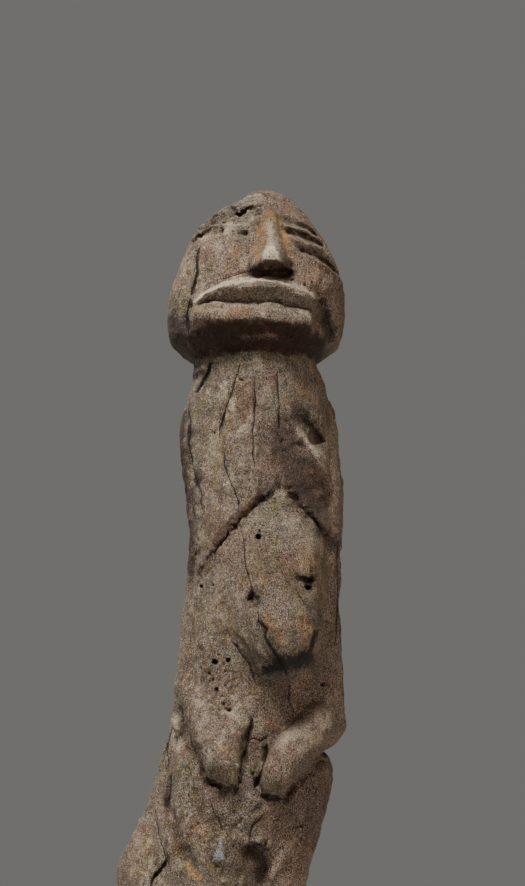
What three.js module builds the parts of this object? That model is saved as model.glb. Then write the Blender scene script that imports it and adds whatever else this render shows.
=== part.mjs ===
import * as THREE from "three";

// A standing figure carved from one log, with a low round base left at its feet.
// Millimetres. Z is up, the front faces -Y and the figure's axis leans along X.
// The form is a field, negative inside the wood, built from the bodies below.

const BASE = { top: 25, middle: [-1, -2], radii: [67, 61], edge: 6 };
const BASE_JOINT = { soft: 3, crease: 0.8 };

// Each row: height, middle x, half width, middle y, half depth.
const TRUNK = {
  roundness: 2.25,
  ends: 10,
  stations: [
    [118, -9, 36, 2, 34],
    [150, -4, 43, 0, 39],
    [175, 3, 47, -2, 41],
    [200, 9, 47, -2, 42],
    [225, 13, 44, -2, 41],
    [250, 18, 44, -1, 42],
    [290, 20, 44, -1, 42],
    [330, 22, 43, 0, 41],
    [360, 23, 43, 0, 41],
    [390, 22, 44, 0, 42],
    [415, 20, 45, 0.5, 41.5],
    [432, 19.5, 43, -1, 41.5],
    [446, 19, 39.5, -2.5, 41],
    [458, 17, 37.5, -5, 39],
    [480, 17, 34, -5, 35],
  ],
};
const HEAD = {
  roundness: 2.35,
  ends: 3,
  stations: [
    [456, 17, 35, -5.5, 36.5],
    [460, 17, 37.5, -6, 38.5],
    [463, 17.2, 41, -6, 41],
    [467, 17.5, 46.5, -5, 44.5],
    [471, 17.6, 50.5, -3.5, 47.5],
    [478, 17.6, 53, -1.8, 49.8],
    [490, 18, 53.8, -2, 50.5],
    [502, 18.6, 52.8, -2, 50],
    [518, 18.9, 48.8, -1, 48.5],
    [534, 18.8, 42, 1.5, 45],
    [550, 19.6, 31.5, 4.5, 35.5],
    [558, 21, 23.5, 5.5, 28],
    [564, 22.5, 15.5, 5.5, 19],
    [569, 23.5, 4, 5, 5],
  ],
};
const BELLY = {
  roundness: 2.2,
  ends: 4,
  stations: [
    [261, 34, 4, -24, 12],
    [264.5, 33.5, 11, -24, 23],
    [269, 33, 16, -24, 31.5],
    [276, 32, 20, -24, 38.5],
    [286, 31, 24.5, -24, 41.8],
    [296, 29, 28.5, -24, 41.3],
    [310, 27, 31, -24, 38],
    [325, 27, 31.5, -24, 34],
    [340, 27.5, 31, -24, 29.5],
    [356, 28.5, 25, -24, 24],
    [376, 29, 12, -24, 17],
  ],
};

// Limbs are tapered rods. Each row: x, y, z, radius.
// Soft is how softly the limb joins the body, and crease the height of the crease there.
// The left flank has one of each for its front and one for its back, with a change between these y.
const FLANK_TURN = [0, 25];
const BUTTOCK_RIGHT = {
  soft: 9,
  crease: 0.8,
  rows: [
    [23, 18, 184, 27],
    [16, 17, 158, 27],
  ],
};
const PELVIS = {
  soft: 8,
  crease: 0,
  rows: [
    [6, -10, 204, 33],
    [8, -14, 176, 27],
    [7, -16, 152, 17],
  ],
};
const THIGH_RIGHT = {
  soft: 6,
  crease: 1.2,
  rows: [
    [36.5, -3, 211, 27],
    [31, -5, 186, 26],
    [27, -8, 170, 24.5],
    [22, -12, 146, 23.5],
    [24, -17, 104, 23],
  ],
};
const FLANK_AND_THIGH_LEFT = {
  soft: [4, 14],
  crease: [1.8, 0],
  rows: [
    [-12, 12, 250, 18.5],
    [-14, 12, 234, 20],
    [-17, 12, 218, 21.5],
    [-19.5, 11, 203, 22],
    [-23.5, 10, 188, 23],
    [-27.5, 8, 173, 25.5],
    [-33, 6, 152, 29.5],
    [-32, -8, 130, 26.5],
    [-31, -17, 104, 23.5],
  ],
};
const ARM_LEFT = {
  soft: 4,
  crease: 1.2,
  rows: [
    [-13, 6, 425, 15],
    [-13.5, 6, 416, 15],
    [-13, 5, 404, 15],
    [-11.5, 2, 386, 14.5],
    [-8.5, -1, 360, 13.5],
    [-9.5, -3, 329, 14.2],
    [-11, -5, 302, 15],
    [-14, -9, 262, 15],
    [-15.5, -8, 242, 16.5],
  ],
};
const ARM_RIGHT = {
  soft: 4,
  crease: 1.2,
  rows: [
    [50.5, -2, 426, 15.5],
    [52.5, -4, 414, 15.8],
    [53.5, -5, 402, 15],
    [56, -8, 385, 14],
    [56, -10, 360, 13.5],
    [55.5, -10, 331, 13],
    [55, -10, 300, 13.5],
    [54.5, -12, 262, 15],
    [53.5, -13, 242, 17.5],
  ],
};
const FOREARM_LEFT = {
  soft: 3,
  rows: [
    [-14, -10, 262, 15],
    [-9, -23, 246, 17],
    [-3, -36, 229, 15.5],
    [-0.5, -41, 217.5, 13.5],
  ],
};
const FOREARM_RIGHT = {
  soft: 4,
  crease: 1.6,
  rows: [
    [53.5, -13, 242, 17.5],
    [50, -26, 239, 14.5],
    [38, -37, 224, 12.5],
    [29.5, -41, 210.5, 12],
  ],
};
const CALF_LEFT = {
  rows: [
    [-31, -17, 104, 23.5],
    [-31, 4, 66, 21.5],
    [-30, 6, 30, 19],
  ],
};
const CALF_RIGHT = {
  rows: [
    [24, -17, 104, 23],
    [25, 4, 66, 21],
    [25, 6, 30, 18.5],
  ],
};
const LEG_WEB = {
  rows: [
    [-3, -8, 120, 16],
    [-3, 2, 60, 14],
    [-3, 3, 28, 14],
  ],
};
const WEB_SOFTNESS = 6;
const LEG_SOFTNESS = 4;
const FEET = {
  soft: 4,
  crease: 0.8,
  radii: [18.5, 36, 15],
  middles: [
    [-31, -14, 27],
    [26, -14, 27],
  ],
};

// The left forearm flows into the waist: more softly between these limits of x and z.
const WAIST_BLEND = { extra: 11, x: [-16, 4], z: [214, 240] };
const BELLY_BLEND = { soft: 4, extra: 8, x: [-24, 2] };

// The gap between the legs. Each row: height, middle x, half width.
const GAP_EDGE = 5;
const GAP = [
  [25, -3, 9.5],
  [50, -3, 9.5],
  [75, -3, 9],
  [100, -2.5, 7],
  [124, -1.5, 6],
  [136, -0.5, 4],
  [141, 0, 0.6],
];

// The carving on the front is drawn in the front view, in x and z.
// Each stroke follows a line, with a half width and a height; a groove is negative.
const CHEST = {
  middle: 31.5,
  turn: [-8, 6],
  flaps: [2.5, 2.4],
  fades: [46, 26],
  groove: { depth: 1, above: -0.4, width: 1.5 },
  lip: [-1.5, 4.5],
  slant: 0.7,
  sides: [
    [-14, -3],
    [60, 72],
  ],
  ends: [
    [312, 325],
    [444, 456],
  ],
  line: [
    [-24, 318],
    [-6.5, 338],
    [0, 347],
    [4.6, 352.5],
    [11.8, 360],
    [20.9, 368],
    [26.4, 373],
    [31.5, 378],
    [36, 376.5],
    [43.7, 369],
    [50.1, 362],
    [57.7, 353],
    [65.4, 344],
    [74, 333],
  ],
};
const CHEST_STROKES = {
  leftSwell: { width: 17, height: 2.6, line: [[4, 440], [6, 405], [8, 368]] },
  middleHollow: { width: 7, height: -2.6, line: [[30, 384], [30, 394], [33, 406], [34, 424]] },
  rightHollow: { width: 8.5, height: -3.6, line: [[37, 404], [45, 388], [51, 372]] },
  shoulderHollow: { width: 5.2, height: -5.5, line: [[44, 425], [49.5, 414.5], [54.5, 404]] },
  shoulderRidge: { width: 3.2, height: 3.4, line: [[42.5, 412.5], [48.4, 404], [54, 397], [60, 388]] },
  rightArmCrease: { width: 3, height: -1.2, line: [[59, 402], [60, 385], [61, 366]] },
  leftArmCrease: {
    width: 2.2,
    height: -3,
    line: [[-22.7, 431], [-20.5, 421], [-22.5, 409], [-18.5, 389], [-15.5, 378]],
  },
};
const NOSE = {
  top: 546,
  base: 505.8,
  middle: [26, 27.8],
  leftHalf: [4, 14],
  rightHalf: [3, 12.5],
  heights: [2.5, 13.5],
  ridge: 1.32,
  baseEdge: [-0.4, 1.4],
  topEdge: [541, 552],
  undercut: { depth: 4.5, x: 27.5, halfX: 12.5, below: 2.4, halfZ: 2.8 },
  nostril: { depth: 4.5, x: 37, halfX: 3, z: 509, halfZ: 4.5 },
};
const MOUTH = {
  middle: 17.5,
  top: 499,
  drops: [10.2, 9.4],
  reaches: [36.7, 39],
  slit: 485.4,
  slitDrop: 3,
  slitTurn: [12, 50],
  upperSides: [
    [-20, -11],
    [52, 61],
  ],
  lowerSides: [
    [-24, -19],
    [50, 55],
  ],
  upperHeights: [0.8, 6],
  crest: 0.62,
  crestFall: 0.35,
  upperEdges: [
    [-1, 1.8],
    [-2, 2.6],
  ],
  lowerHeights: [4.4, 2.8],
  lowerReach: 16.5,
  lowerTurns: [0.6, 0.64],
  lowerEdge: [-0.8, 1.8],
  lobe: { height: 1.6, x: 47, halfX: 5.5, z: 476.5, halfZ: 4.5 },
  groove: { depth: 0.3, halfZ: 1 },
};
const BROWS = {
  groove: { width: 2.3, height: -3.4 },
  ridge: { width: 1.9, height: 1.3, below: 4.3 },
  lines: [
    [[31.5, 540.5], [39, 539.8], [48, 538], [56, 533.5]],
    [[35.5, 532.6], [44, 531.2], [51.5, 528.5], [59, 525]],
    [[41, 521.8], [51, 519], [60, 515.5], [68, 510.5]],
  ],
};
const FACE_STROKES = {
  leftBrow: { width: 2.6, height: -2.3, line: [[-25, 529], [-15, 532], [-7, 533], [1, 532.6]] },
  leftBrowRidge: {
    width: 2,
    height: 1.5,
    line: [[-25, 533.5], [-11, 536.5], [0, 536], [11, 534.5], [15, 532]],
  },
  notch: { width: 4.2, height: -5.5, line: [[53.5, 494], [57, 484], [60, 476], [62.5, 466]] },
  rottenHole: { width: 1.6, height: -5, line: [[7, 544.5], [10, 545.5], [13, 548.3], [18, 550.5]] },
};
const LEFT_EYE = { depth: 3.6, x: 8.6, halfX: 5.6, z: 529.4, halfZ: 2.6 };

// A plane cuts the crown on the left: parts of x and z, its distance, and where it ends on the right.
const CROWN_CUT = { x: -0.38, z: 0.925, distance: 513.6, lift: 9, turn: [9, 24], edge: 2.5 };
const HEAD_JOINT = { soft: 3, crease: 1.2 };

const HAND_STROKES = {
  leftHandInner: { width: 2.2, height: -1.9, line: [[16, 243], [12.5, 227], [10.4, 217], [8.3, 203]] },
  leftHandEnd: { width: 1.6, height: -2.4, line: [[-10.5, 208], [-5, 205.3], [0, 203.7], [8.5, 202.8]] },
  leftHandOuter: { width: 3.4, height: -1.9, line: [[-26, 256], [-22.5, 234.6], [-13.2, 219], [-10, 208]] },
  rightHandInner: { width: 1.5, height: -1.2, line: [[24.4, 227], [23.3, 219], [20.1, 208.6], [18, 204]] },
  rightHandEnd: { width: 1.6, height: -2.6, line: [[21, 199.8], [28, 197.3], [35, 197], [38.3, 204]] },
  rightHandUnder: { width: 3.2, height: -3, line: [[38, 204], [48, 212.5], [58, 221]] },
  hipGroove: { width: 3.4, height: -4, line: [[-33, 231], [-33, 209], [-31, 190], [-24, 170], [-11, 148]] },
  pelvisHollow: { width: 4, height: -2.2, line: [[-22, 218], [-17.5, 198], [-13, 177]] },
  rightSide: { width: 1.8, height: -1.2, line: [[65, 350], [66, 329], [66, 305], [64, 280]] },
  navel: { width: 3.2, height: -4, line: [[13.5, 311.5], [20.5, 306.5]] },
  thighRidge: { width: 3.2, height: 2.6, line: [[41, 175], [32, 163], [23, 149]] },
};
const RIGHT_PIT = { depth: 4.5, x: 46.5, halfX: 5.4, z: 322.3, halfZ: 2.1 };
const CROTCH = { depth: 6, x: 18.5, halfX: 7, top: 173, edge: [-0.5, 1.5], fade: 16 };

const BACK = {
  spine: { width: 6, height: -2.6, line: [[19, 440], [20, 380], [20, 300], [16, 225]] },
  blades: { height: 3, z: 404, halfZ: 26, halfX: 13, middles: [2, 38] },
};

// The depths in y between which the carving of the front and of the back begins.
const BODY_FRONT = [2, 12];
const FACE_FRONT = [8, 18];
const BACK_START = [10, 22];

// A stroke is at its full height a sixth of the way along, and at a quarter of it at its ends.
const STROKE_RISE = 6;
const STROKE_END = 0.25;
const CREASE_WIDTH = 3;

// The surface is met on a grid of cells, then thinned where it is plain.
const CELL = 2.4;
const BLOCK = 5;
const GRID_START = [-79.2, -76.8, -4.8];
const GRID_BLOCKS = [13, 12, 49];
const BLOCK_REACH = 1.6 * CELL * BLOCK + 5;
const FLOOR_SNAP = 0.02;
const FACES = 9800;
const FAR = 60;
const LENGTH_COST = 2e-4;
const LEAST_TURN = 0.3;
const LEAST_AREA = 1e-4;
const JUST_INSIDE = -0.01;

const sections = new Map();

// One row of a table of stations, on a smooth curve through the rows around it.
function stationsAt(stations, z) {
  if (!sections.has(stations)) {
    sections.set(stations, new Map());
  }
  const known = sections.get(stations);
  if (!known.has(z)) {
    known.set(z, smoothRow(stations, z));
  }
  return known.get(z);
}

function smoothRow(stations, z) {
  const last = stations.length - 1;
  if (z <= stations[0][0]) {
    return stations[0];
  }
  if (z >= stations[last][0]) {
    return stations[last];
  }
  let i = 0;
  while (z > stations[i + 1][0]) {
    i += 1;
  }
  const a = stations[i];
  const b = stations[i + 1];
  const width = b[0] - a[0];
  const t = (z - a[0]) / width;
  const before = stations[Math.max(i - 1, 0)];
  const after = stations[Math.min(i + 2, last)];
  return a.map((value, k) => {
    const startSlope = (b[k] - before[k]) / (b[0] - before[0]);
    const endSlope = (after[k] - value) / (after[0] - a[0]);
    const startPart = (2 * t ** 3 - 3 * t ** 2 + 1) * value;
    const endPart = (3 * t ** 2 - 2 * t ** 3) * b[k];
    const slopes = (t ** 3 - 2 * t ** 2 + t) * startSlope + (t ** 3 - t ** 2) * endSlope;
    return startPart + endPart + slopes * width;
  });
}

function clamp(v) {
  return Math.min(1, Math.max(0, v));
}

function smoothMin(a, b, k) {
  const h = clamp(0.5 + (0.5 * (b - a)) / k);
  return b + (a - b) * h - k * h * (1 - h);
}

function smoothMax(a, b, k) {
  return -smoothMin(-a, -b, k);
}

// Joins two bodies softly and keeps a crease where they meet.
function join(a, b, { soft, crease = 0 }) {
  return smoothMin(a, b, soft) + crease * Math.exp(-(((a - b) / CREASE_WIDTH) ** 2));
}

function step(v, low, high) {
  const t = clamp((v - low) / (high - low));
  return t * t * (3 - 2 * t);
}

function mixed([start, end], t) {
  return start + (end - start) * t;
}

function loft(x, y, z, { stations, roundness, ends }) {
  const [, middleX, halfWidth, middleY, halfDepth] = stationsAt(stations, z);
  const across = Math.abs((x - middleX) / halfWidth) ** roundness;
  const along = Math.abs((y - middleY) / halfDepth) ** roundness;
  const side = ((across + along) ** (1 / roundness) - 1) * Math.min(halfWidth, halfDepth);
  const past = Math.max(stations[0][0] - z, z - stations[stations.length - 1][0]);
  return smoothMax(side, past, ends);
}

function rods(x, y, z, { rows }) {
  const levels = [rows[0][2], rows[rows.length - 1][2]];
  if (z > Math.max(...levels) + FAR || z < Math.min(...levels) - FAR) {
    return FAR;
  }
  let nearest = Infinity;
  for (let i = 0; i + 1 < rows.length; i += 1) {
    const start = rows[i];
    const end = rows[i + 1];
    const ux = end[0] - start[0];
    const uy = end[1] - start[1];
    const uz = end[2] - start[2];
    const px = x - start[0];
    const py = y - start[1];
    const pz = z - start[2];
    const t = clamp((px * ux + py * uy + pz * uz) / (ux * ux + uy * uy + uz * uz));
    const gap = Math.sqrt((px - t * ux) ** 2 + (py - t * uy) ** 2 + (pz - t * uz) ** 2);
    nearest = Math.min(nearest, gap - start[3] - t * (end[3] - start[3]));
  }
  return nearest;
}

function ellipsoid(x, y, z, middle, radii) {
  const dx = (x - middle[0]) / radii[0];
  const dy = (y - middle[1]) / radii[1];
  const dz = (z - middle[2]) / radii[2];
  const inner = Math.sqrt(dx * dx + dy * dy + dz * dz);
  const outer = Math.sqrt((dx / radii[0]) ** 2 + (dy / radii[1]) ** 2 + (dz / radii[2]) ** 2);
  return (inner * (inner - 1)) / Math.max(outer, 1e-6);
}

function bump(v, middle, width, power = 2) {
  return Math.exp(-(Math.abs((v - middle) / width) ** power));
}

function stroke(x, z, { line, width, height }) {
  let nearest = Infinity;
  let along = 0;
  const count = line.length - 1;
  for (let i = 0; i < count; i += 1) {
    const [ax, az] = line[i];
    const [ux, uz] = [line[i + 1][0] - ax, line[i + 1][1] - az];
    const t = clamp(((x - ax) * ux + (z - az) * uz) / (ux * ux + uz * uz));
    const gap = Math.sqrt((x - ax - t * ux) ** 2 + (z - az - t * uz) ** 2);
    if (gap < nearest) {
      nearest = gap;
      along = (i + t) / count;
    }
  }
  const fade = Math.min(1, STROKE_RISE * Math.min(along, 1 - along) + STROKE_END);
  return height * fade * bump(nearest, 0, width);
}

function strokes(x, z, set) {
  return Object.values(set).reduce((sum, each) => sum + stroke(x, z, each), 0);
}

// The height of a line in the front view at one x, level beyond its ends.
function heightOn(line, x) {
  const last = line.length - 1;
  if (x <= line[0][0]) {
    return line[0][1];
  }
  if (x >= line[last][0]) {
    return line[last][1];
  }
  let i = 0;
  while (x > line[i + 1][0]) {
    i += 1;
  }
  const [ax, az] = line[i];
  const [bx, bz] = line[i + 1];
  return az + ((bz - az) * (x - ax)) / (bx - ax);
}

// 1 between two pairs of limits, each an outer and an inner one, and 0 beyond them.
function within(v, [start, end]) {
  return step(v, ...start) * step(-v, -end[1], -end[0]);
}

function chest(x, z) {
  const above = CHEST.slant * (z - heightOn(CHEST.line, x));
  const right = step(x - CHEST.middle, ...CHEST.turn);
  const [leftFlap, rightFlap] = CHEST.flaps.map((height, i) => {
    return height * Math.exp(-Math.max(above, 0) / CHEST.fades[i]);
  });
  const flap = mixed([leftFlap, rightFlap], right);
  const { depth, above: grooveAbove, width } = CHEST.groove;
  const edge = flap * step(above, ...CHEST.lip) - depth * bump(above, grooveAbove, width);
  const height = edge * within(x, CHEST.sides) + strokes(x, z, CHEST_STROKES);
  return height * within(z, CHEST.ends);
}

function nose(x, z) {
  const down = clamp((NOSE.top - z) / (NOSE.top - NOSE.base));
  const off = x - mixed(NOSE.middle, down);
  const half = mixed(off < 0 ? NOSE.leftHalf : NOSE.rightHalf, down);
  const ridge = clamp(NOSE.ridge * (1 - Math.abs(off) / half));
  const base = step(z - NOSE.base, ...NOSE.baseEdge);
  const ends = base * step(-z, -NOSE.topEdge[1], -NOSE.topEdge[0]);
  const { undercut, nostril } = NOSE;
  const under = bump(x, undercut.x, undercut.halfX, 4) * bump(z, NOSE.base - undercut.below, undercut.halfZ);
  const hole = bump(x, nostril.x, nostril.halfX) * bump(z, nostril.z, nostril.halfZ);
  return ridge * mixed(NOSE.heights, down) * ends - undercut.depth * under - nostril.depth * hole;
}

function mouth(x, z) {
  const side = x < MOUTH.middle ? 0 : 1;
  const out = (x - MOUTH.middle) / MOUTH.reaches[side];
  const arch = MOUTH.top - MOUTH.drops[side] * out ** 2;
  const slit = MOUTH.slit - MOUTH.slitDrop * step(x, ...MOUTH.slitTurn);
  const up = clamp((z - slit) / (arch - slit));
  const past = (up - MOUTH.crest) / (1 - MOUTH.crest);
  const crest = up < MOUTH.crest ? up / MOUTH.crest : 1 - MOUTH.crestFall * past;
  const [upperBottom, upperTop] = MOUTH.upperEdges;
  const upperSides = within(x, MOUTH.upperSides);
  const upperEnds = step(z - slit, ...upperBottom) * step(arch - z, ...upperTop);
  const upper = (MOUTH.upperHeights[0] + MOUTH.upperHeights[1] * crest) * upperEnds * upperSides;
  const down = clamp((slit - z) / MOUTH.lowerReach);
  const [fullAt, fallFrom] = MOUTH.lowerTurns;
  const lowerEnds = step(-down, -1, -fallFrom) * step(slit - z, ...MOUTH.lowerEdge);
  const lowerHeight = MOUTH.lowerHeights[0] + MOUTH.lowerHeights[1] * step(down, 0, fullAt);
  const lower = lowerHeight * lowerEnds * within(x, MOUTH.lowerSides);
  const { lobe, groove } = MOUTH;
  const corner = lobe.height * bump(x, lobe.x, lobe.halfX) * bump(z, lobe.z, lobe.halfZ);
  return upper + lower + corner - groove.depth * bump(z, slit, groove.halfZ) * upperSides;
}

function browsAndEyes(x, z) {
  let height = 0;
  for (const line of BROWS.lines) {
    const lower = line.map(([a, b]) => [a, b - BROWS.ridge.below]);
    height += stroke(x, z, { ...BROWS.groove, line }) + stroke(x, z, { ...BROWS.ridge, line: lower });
  }
  const eye = bump(x, LEFT_EYE.x, LEFT_EYE.halfX, 4) * bump(z, LEFT_EYE.z, LEFT_EYE.halfZ);
  return height - LEFT_EYE.depth * eye;
}

function face(x, z) {
  return nose(x, z) + mouth(x, z) + browsAndEyes(x, z) + strokes(x, z, FACE_STROKES);
}

function handsAndHollows(x, z) {
  const pit = bump(x, RIGHT_PIT.x, RIGHT_PIT.halfX, 4) * bump(z, RIGHT_PIT.z, RIGHT_PIT.halfZ, 4);
  const below = CROTCH.top - z;
  const fall = step(below, ...CROTCH.edge) * Math.exp(-Math.max(below, 0) / CROTCH.fade);
  const crotch = bump(x, CROTCH.x, CROTCH.halfX, 4) * fall;
  return strokes(x, z, HAND_STROKES) - RIGHT_PIT.depth * pit - CROTCH.depth * crotch;
}

function back(x, z) {
  const { spine, blades } = BACK;
  const across = blades.middles.reduce((sum, middle) => sum + bump(x, middle, blades.halfX), 0);
  return stroke(x, z, spine) + blades.height * bump(z, blades.z, blades.halfZ) * across;
}

function gapBetweenLegs(x, z) {
  const [, middle, halfWidth] = stationsAt(GAP, z);
  const ends = Math.max(GAP[0][0] - z, z - GAP[GAP.length - 1][0]);
  return Math.max(Math.abs(x - middle) - halfWidth, ends);
}

function body(x, y, z) {
  let d = loft(x, y, z, TRUNK);
  for (const limb of [BUTTOCK_RIGHT, PELVIS, THIGH_RIGHT]) {
    d = join(d, rods(x, y, z, limb), limb);
  }
  const behind = step(y, ...FLANK_TURN);
  const { soft, crease } = FLANK_AND_THIGH_LEFT;
  const flankJoint = { soft: mixed(soft, behind), crease: mixed(crease, behind) };
  d = join(d, rods(x, y, z, FLANK_AND_THIGH_LEFT), flankJoint);
  for (const limb of [ARM_LEFT, ARM_RIGHT]) {
    d = join(d, rods(x, y, z, limb), limb);
  }
  const atWaist = step(x, ...WAIST_BLEND.x) * step(z, ...WAIST_BLEND.z);
  d = smoothMin(d, rods(x, y, z, FOREARM_LEFT), FOREARM_LEFT.soft + WAIST_BLEND.extra * atWaist);
  d = join(d, rods(x, y, z, FOREARM_RIGHT), FOREARM_RIGHT);
  const atLeft = step(-x, ...BELLY_BLEND.x);
  d = smoothMin(d, loft(x, y, z, BELLY), BELLY_BLEND.soft + BELLY_BLEND.extra * atLeft);
  const front = step(-y, ...BODY_FRONT);
  return front > 0 ? d - front * (chest(x, z) + handsAndHollows(x, z)) : d;
}

function head(x, y, z) {
  const front = step(-y, ...FACE_FRONT);
  let d = loft(x, y, z, HEAD);
  if (front > 0 && z > HEAD.stations[0][0]) {
    d -= front * face(x, z);
  }
  const { distance, lift, turn, edge } = CROWN_CUT;
  const cut = CROWN_CUT.x * x + CROWN_CUT.z * z - distance - lift * step(x, ...turn);
  return smoothMax(d, cut, edge);
}

function legsAndBase(x, y, z, above) {
  const calves = Math.min(rods(x, y, z, CALF_LEFT), rods(x, y, z, CALF_RIGHT));
  const legs = smoothMin(calves, rods(x, y, z, LEG_WEB), WEB_SOFTNESS);
  const feet = FEET.middles.map((middle) => ellipsoid(x, y, z, middle, FEET.radii));
  let d = smoothMin(above, legs, LEG_SOFTNESS);
  d = join(d, Math.min(...feet), FEET);
  d = smoothMax(d, -gapBetweenLegs(x, z), GAP_EDGE);
  const across = (x - BASE.middle[0]) / BASE.radii[0];
  const along = (y - BASE.middle[1]) / BASE.radii[1];
  const rim = (Math.sqrt(across * across + along * along) - 1) * BASE.radii[1];
  const base = smoothMax(rim, Math.max(z - BASE.top, -z), BASE.edge);
  return join(d, base, BASE_JOINT);
}

function field(x, y, z) {
  let d = join(body(x, y, z), head(x, y, z), HEAD_JOINT);
  const behind = step(y, ...BACK_START);
  if (behind > 0) {
    d -= behind * back(x, z);
  }
  return legsAndBase(x, y, z, d);
}

// The field at every grid point. Blocks well away from the surface get one value.
function sampleGrid() {
  const counts = GRID_BLOCKS.map((n) => n * BLOCK);
  const values = new Float32Array(counts[0] * counts[1] * counts[2]);
  const place = (axis, i) => GRID_START[axis] + CELL * i;
  const half = (BLOCK - 1) / 2;
  for (let bk = 0; bk < GRID_BLOCKS[2]; bk += 1) {
    for (let bj = 0; bj < GRID_BLOCKS[1]; bj += 1) {
      for (let bi = 0; bi < GRID_BLOCKS[0]; bi += 1) {
        const [i0, j0, k0] = [bi * BLOCK, bj * BLOCK, bk * BLOCK];
        const middle = field(place(0, i0 + half), place(1, j0 + half), place(2, k0 + half));
        const near = Math.abs(middle) < BLOCK_REACH;
        for (let k = k0; k < k0 + BLOCK; k += 1) {
          for (let j = j0; j < j0 + BLOCK; j += 1) {
            for (let i = i0; i < i0 + BLOCK; i += 1) {
              const value = near ? field(place(0, i), place(1, j), place(2, k)) : middle;
              values[i + counts[0] * (j + counts[1] * k)] = value;
            }
          }
        }
      }
    }
  }
  return [values, counts];
}

const CORNERS = [0, 1, 2, 3, 4, 5, 6, 7];

const BESIDE = CORNERS.map((c) => (1 << (c ^ 1)) | (1 << (c ^ 2)) | (1 << (c ^ 4)));

// True when the corners whose bits are set hang together along the cell's edges.
function connected(bits) {
  let reached = bits & -bits;
  for (let pass = 0; pass < 8; pass += 1) {
    for (const c of CORNERS) {
      if (bits & (1 << c) && reached & BESIDE[c]) {
        reached |= 1 << c;
      }
    }
  }
  return reached === bits;
}

// The outside corner most shut in by the wood, for every cell that holds two sheets.
function cornerToFill(bits) {
  if (connected(bits) && connected(255 - bits)) {
    return -1;
  }
  const shutIn = (c) => CORNERS.filter((n) => BESIDE[c] & bits & (1 << n)).length;
  const outside = CORNERS.filter((c) => !(bits & (1 << c)));
  return outside.reduce((best, c) => (shutIn(c) > shutIn(best) ? c : best));
}

// Cuts thinner than a cell are filled there, so that no cell holds two sheets.
function fillPinches(values, offsets) {
  const fills = Array.from({ length: 256 }, (_, bits) => cornerToFill(bits));
  const last = values.length - offsets[7];
  let filled = true;
  while (filled) {
    filled = false;
    for (let cell = 0; cell < last; cell += 1) {
      let bits = 0;
      for (const c of CORNERS) {
        bits |= values[cell + offsets[c]] < 0 ? 1 << c : 0;
      }
      if (fills[bits] >= 0) {
        values[cell + offsets[fills[bits]]] = JUST_INSIDE;
        filled = true;
      }
    }
  }
}

// One point in every cell the surface crosses, and a pair of faces on every crossed edge.
function surfaceNet() {
  const [values, [nx, ny, nz]] = sampleGrid();
  const strides = [1, nx, nx * ny];
  const corners = CORNERS.map((c) => [c & 1, (c >> 1) & 1, c >> 2]);
  const offsets = corners.map(([i, j, k]) => i + nx * j + nx * ny * k);
  fillPinches(values, offsets);
  const edges = [];
  for (let a = 0; a < 8; a += 1) {
    for (const bit of [1, 2, 4]) {
      if (!(a & bit)) {
        edges.push([a, a | bit]);
      }
    }
  }
  const points = [];
  const pointOf = new Map();
  for (let k = 0; k + 1 < nz; k += 1) {
    for (let j = 0; j + 1 < ny; j += 1) {
      for (let i = 0; i + 1 < nx; i += 1) {
        const cell = i + strides[1] * j + strides[2] * k;
        const sum = [0, 0, 0];
        let crossings = 0;
        for (const [a, b] of edges) {
          const va = values[cell + offsets[a]];
          const vb = values[cell + offsets[b]];
          if (va < 0 !== vb < 0) {
            const t = va / (va - vb);
            for (let axis = 0; axis < 3; axis += 1) {
              sum[axis] += corners[a][axis] + t * (corners[b][axis] - corners[a][axis]);
            }
            crossings += 1;
          }
        }
        if (crossings > 0) {
          const at = [i, j, k].map((n, axis) => GRID_START[axis] + CELL * (n + sum[axis] / crossings));
          at[2] = Math.abs(at[2]) < FLOOR_SNAP ? 0 : at[2];
          pointOf.set(cell, points.length);
          points.push(at);
        }
      }
    }
  }
  const faces = [];
  for (let axis = 0; axis < 3; axis += 1) {
    const u = strides[(axis + 1) % 3];
    const w = strides[(axis + 2) % 3];
    for (const [cell] of pointOf) {
      const inside = values[cell] < 0;
      if (inside !== values[cell + strides[axis]] < 0) {
        const ring = [cell, cell - u, cell - u - w, cell - w].map((c) => pointOf.get(c));
        const [a, b, c, d] = inside ? ring : ring.reverse();
        faces.push([a, b, c], [a, c, d]);
      }
    }
  }
  return [points, faces];
}

function cross(p, q, r) {
  const a = [q[0] - p[0], q[1] - p[1], q[2] - p[2]];
  const b = [r[0] - p[0], r[1] - p[1], r[2] - p[2]];
  return [a[1] * b[2] - a[2] * b[1], a[2] * b[0] - a[0] * b[2], a[0] * b[1] - a[1] * b[0]];
}

function dot(a, b) {
  return a[0] * b[0] + a[1] * b[1] + a[2] * b[2];
}

// A sum of squared distances to planes, kept as ten numbers.
function planeForm(p, q, r) {
  const normal = cross(p, q, r);
  const length = Math.sqrt(dot(normal, normal)) || 1;
  const [a, b, c] = normal.map((v) => v / length);
  const d = -(a * p[0] + b * p[1] + c * p[2]);
  return [a * a, a * b, a * c, a * d, b * b, b * c, b * d, c * c, c * d, d * d].map((v) => v * length);
}

function error(form, [x, y, z]) {
  const squares = form[0] * x * x + form[4] * y * y + form[7] * z * z + form[9];
  const products = form[1] * x * y + form[2] * x * z + form[5] * y * z;
  return squares + 2 * (products + form[3] * x + form[6] * y + form[8] * z);
}

function pushEntry(heap, entry) {
  let i = heap.length;
  heap.push(entry);
  while (i > 0) {
    const parent = (i - 1) >> 1;
    if (heap[parent].cost <= entry.cost) {
      break;
    }
    heap[i] = heap[parent];
    i = parent;
  }
  heap[i] = entry;
}

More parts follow.
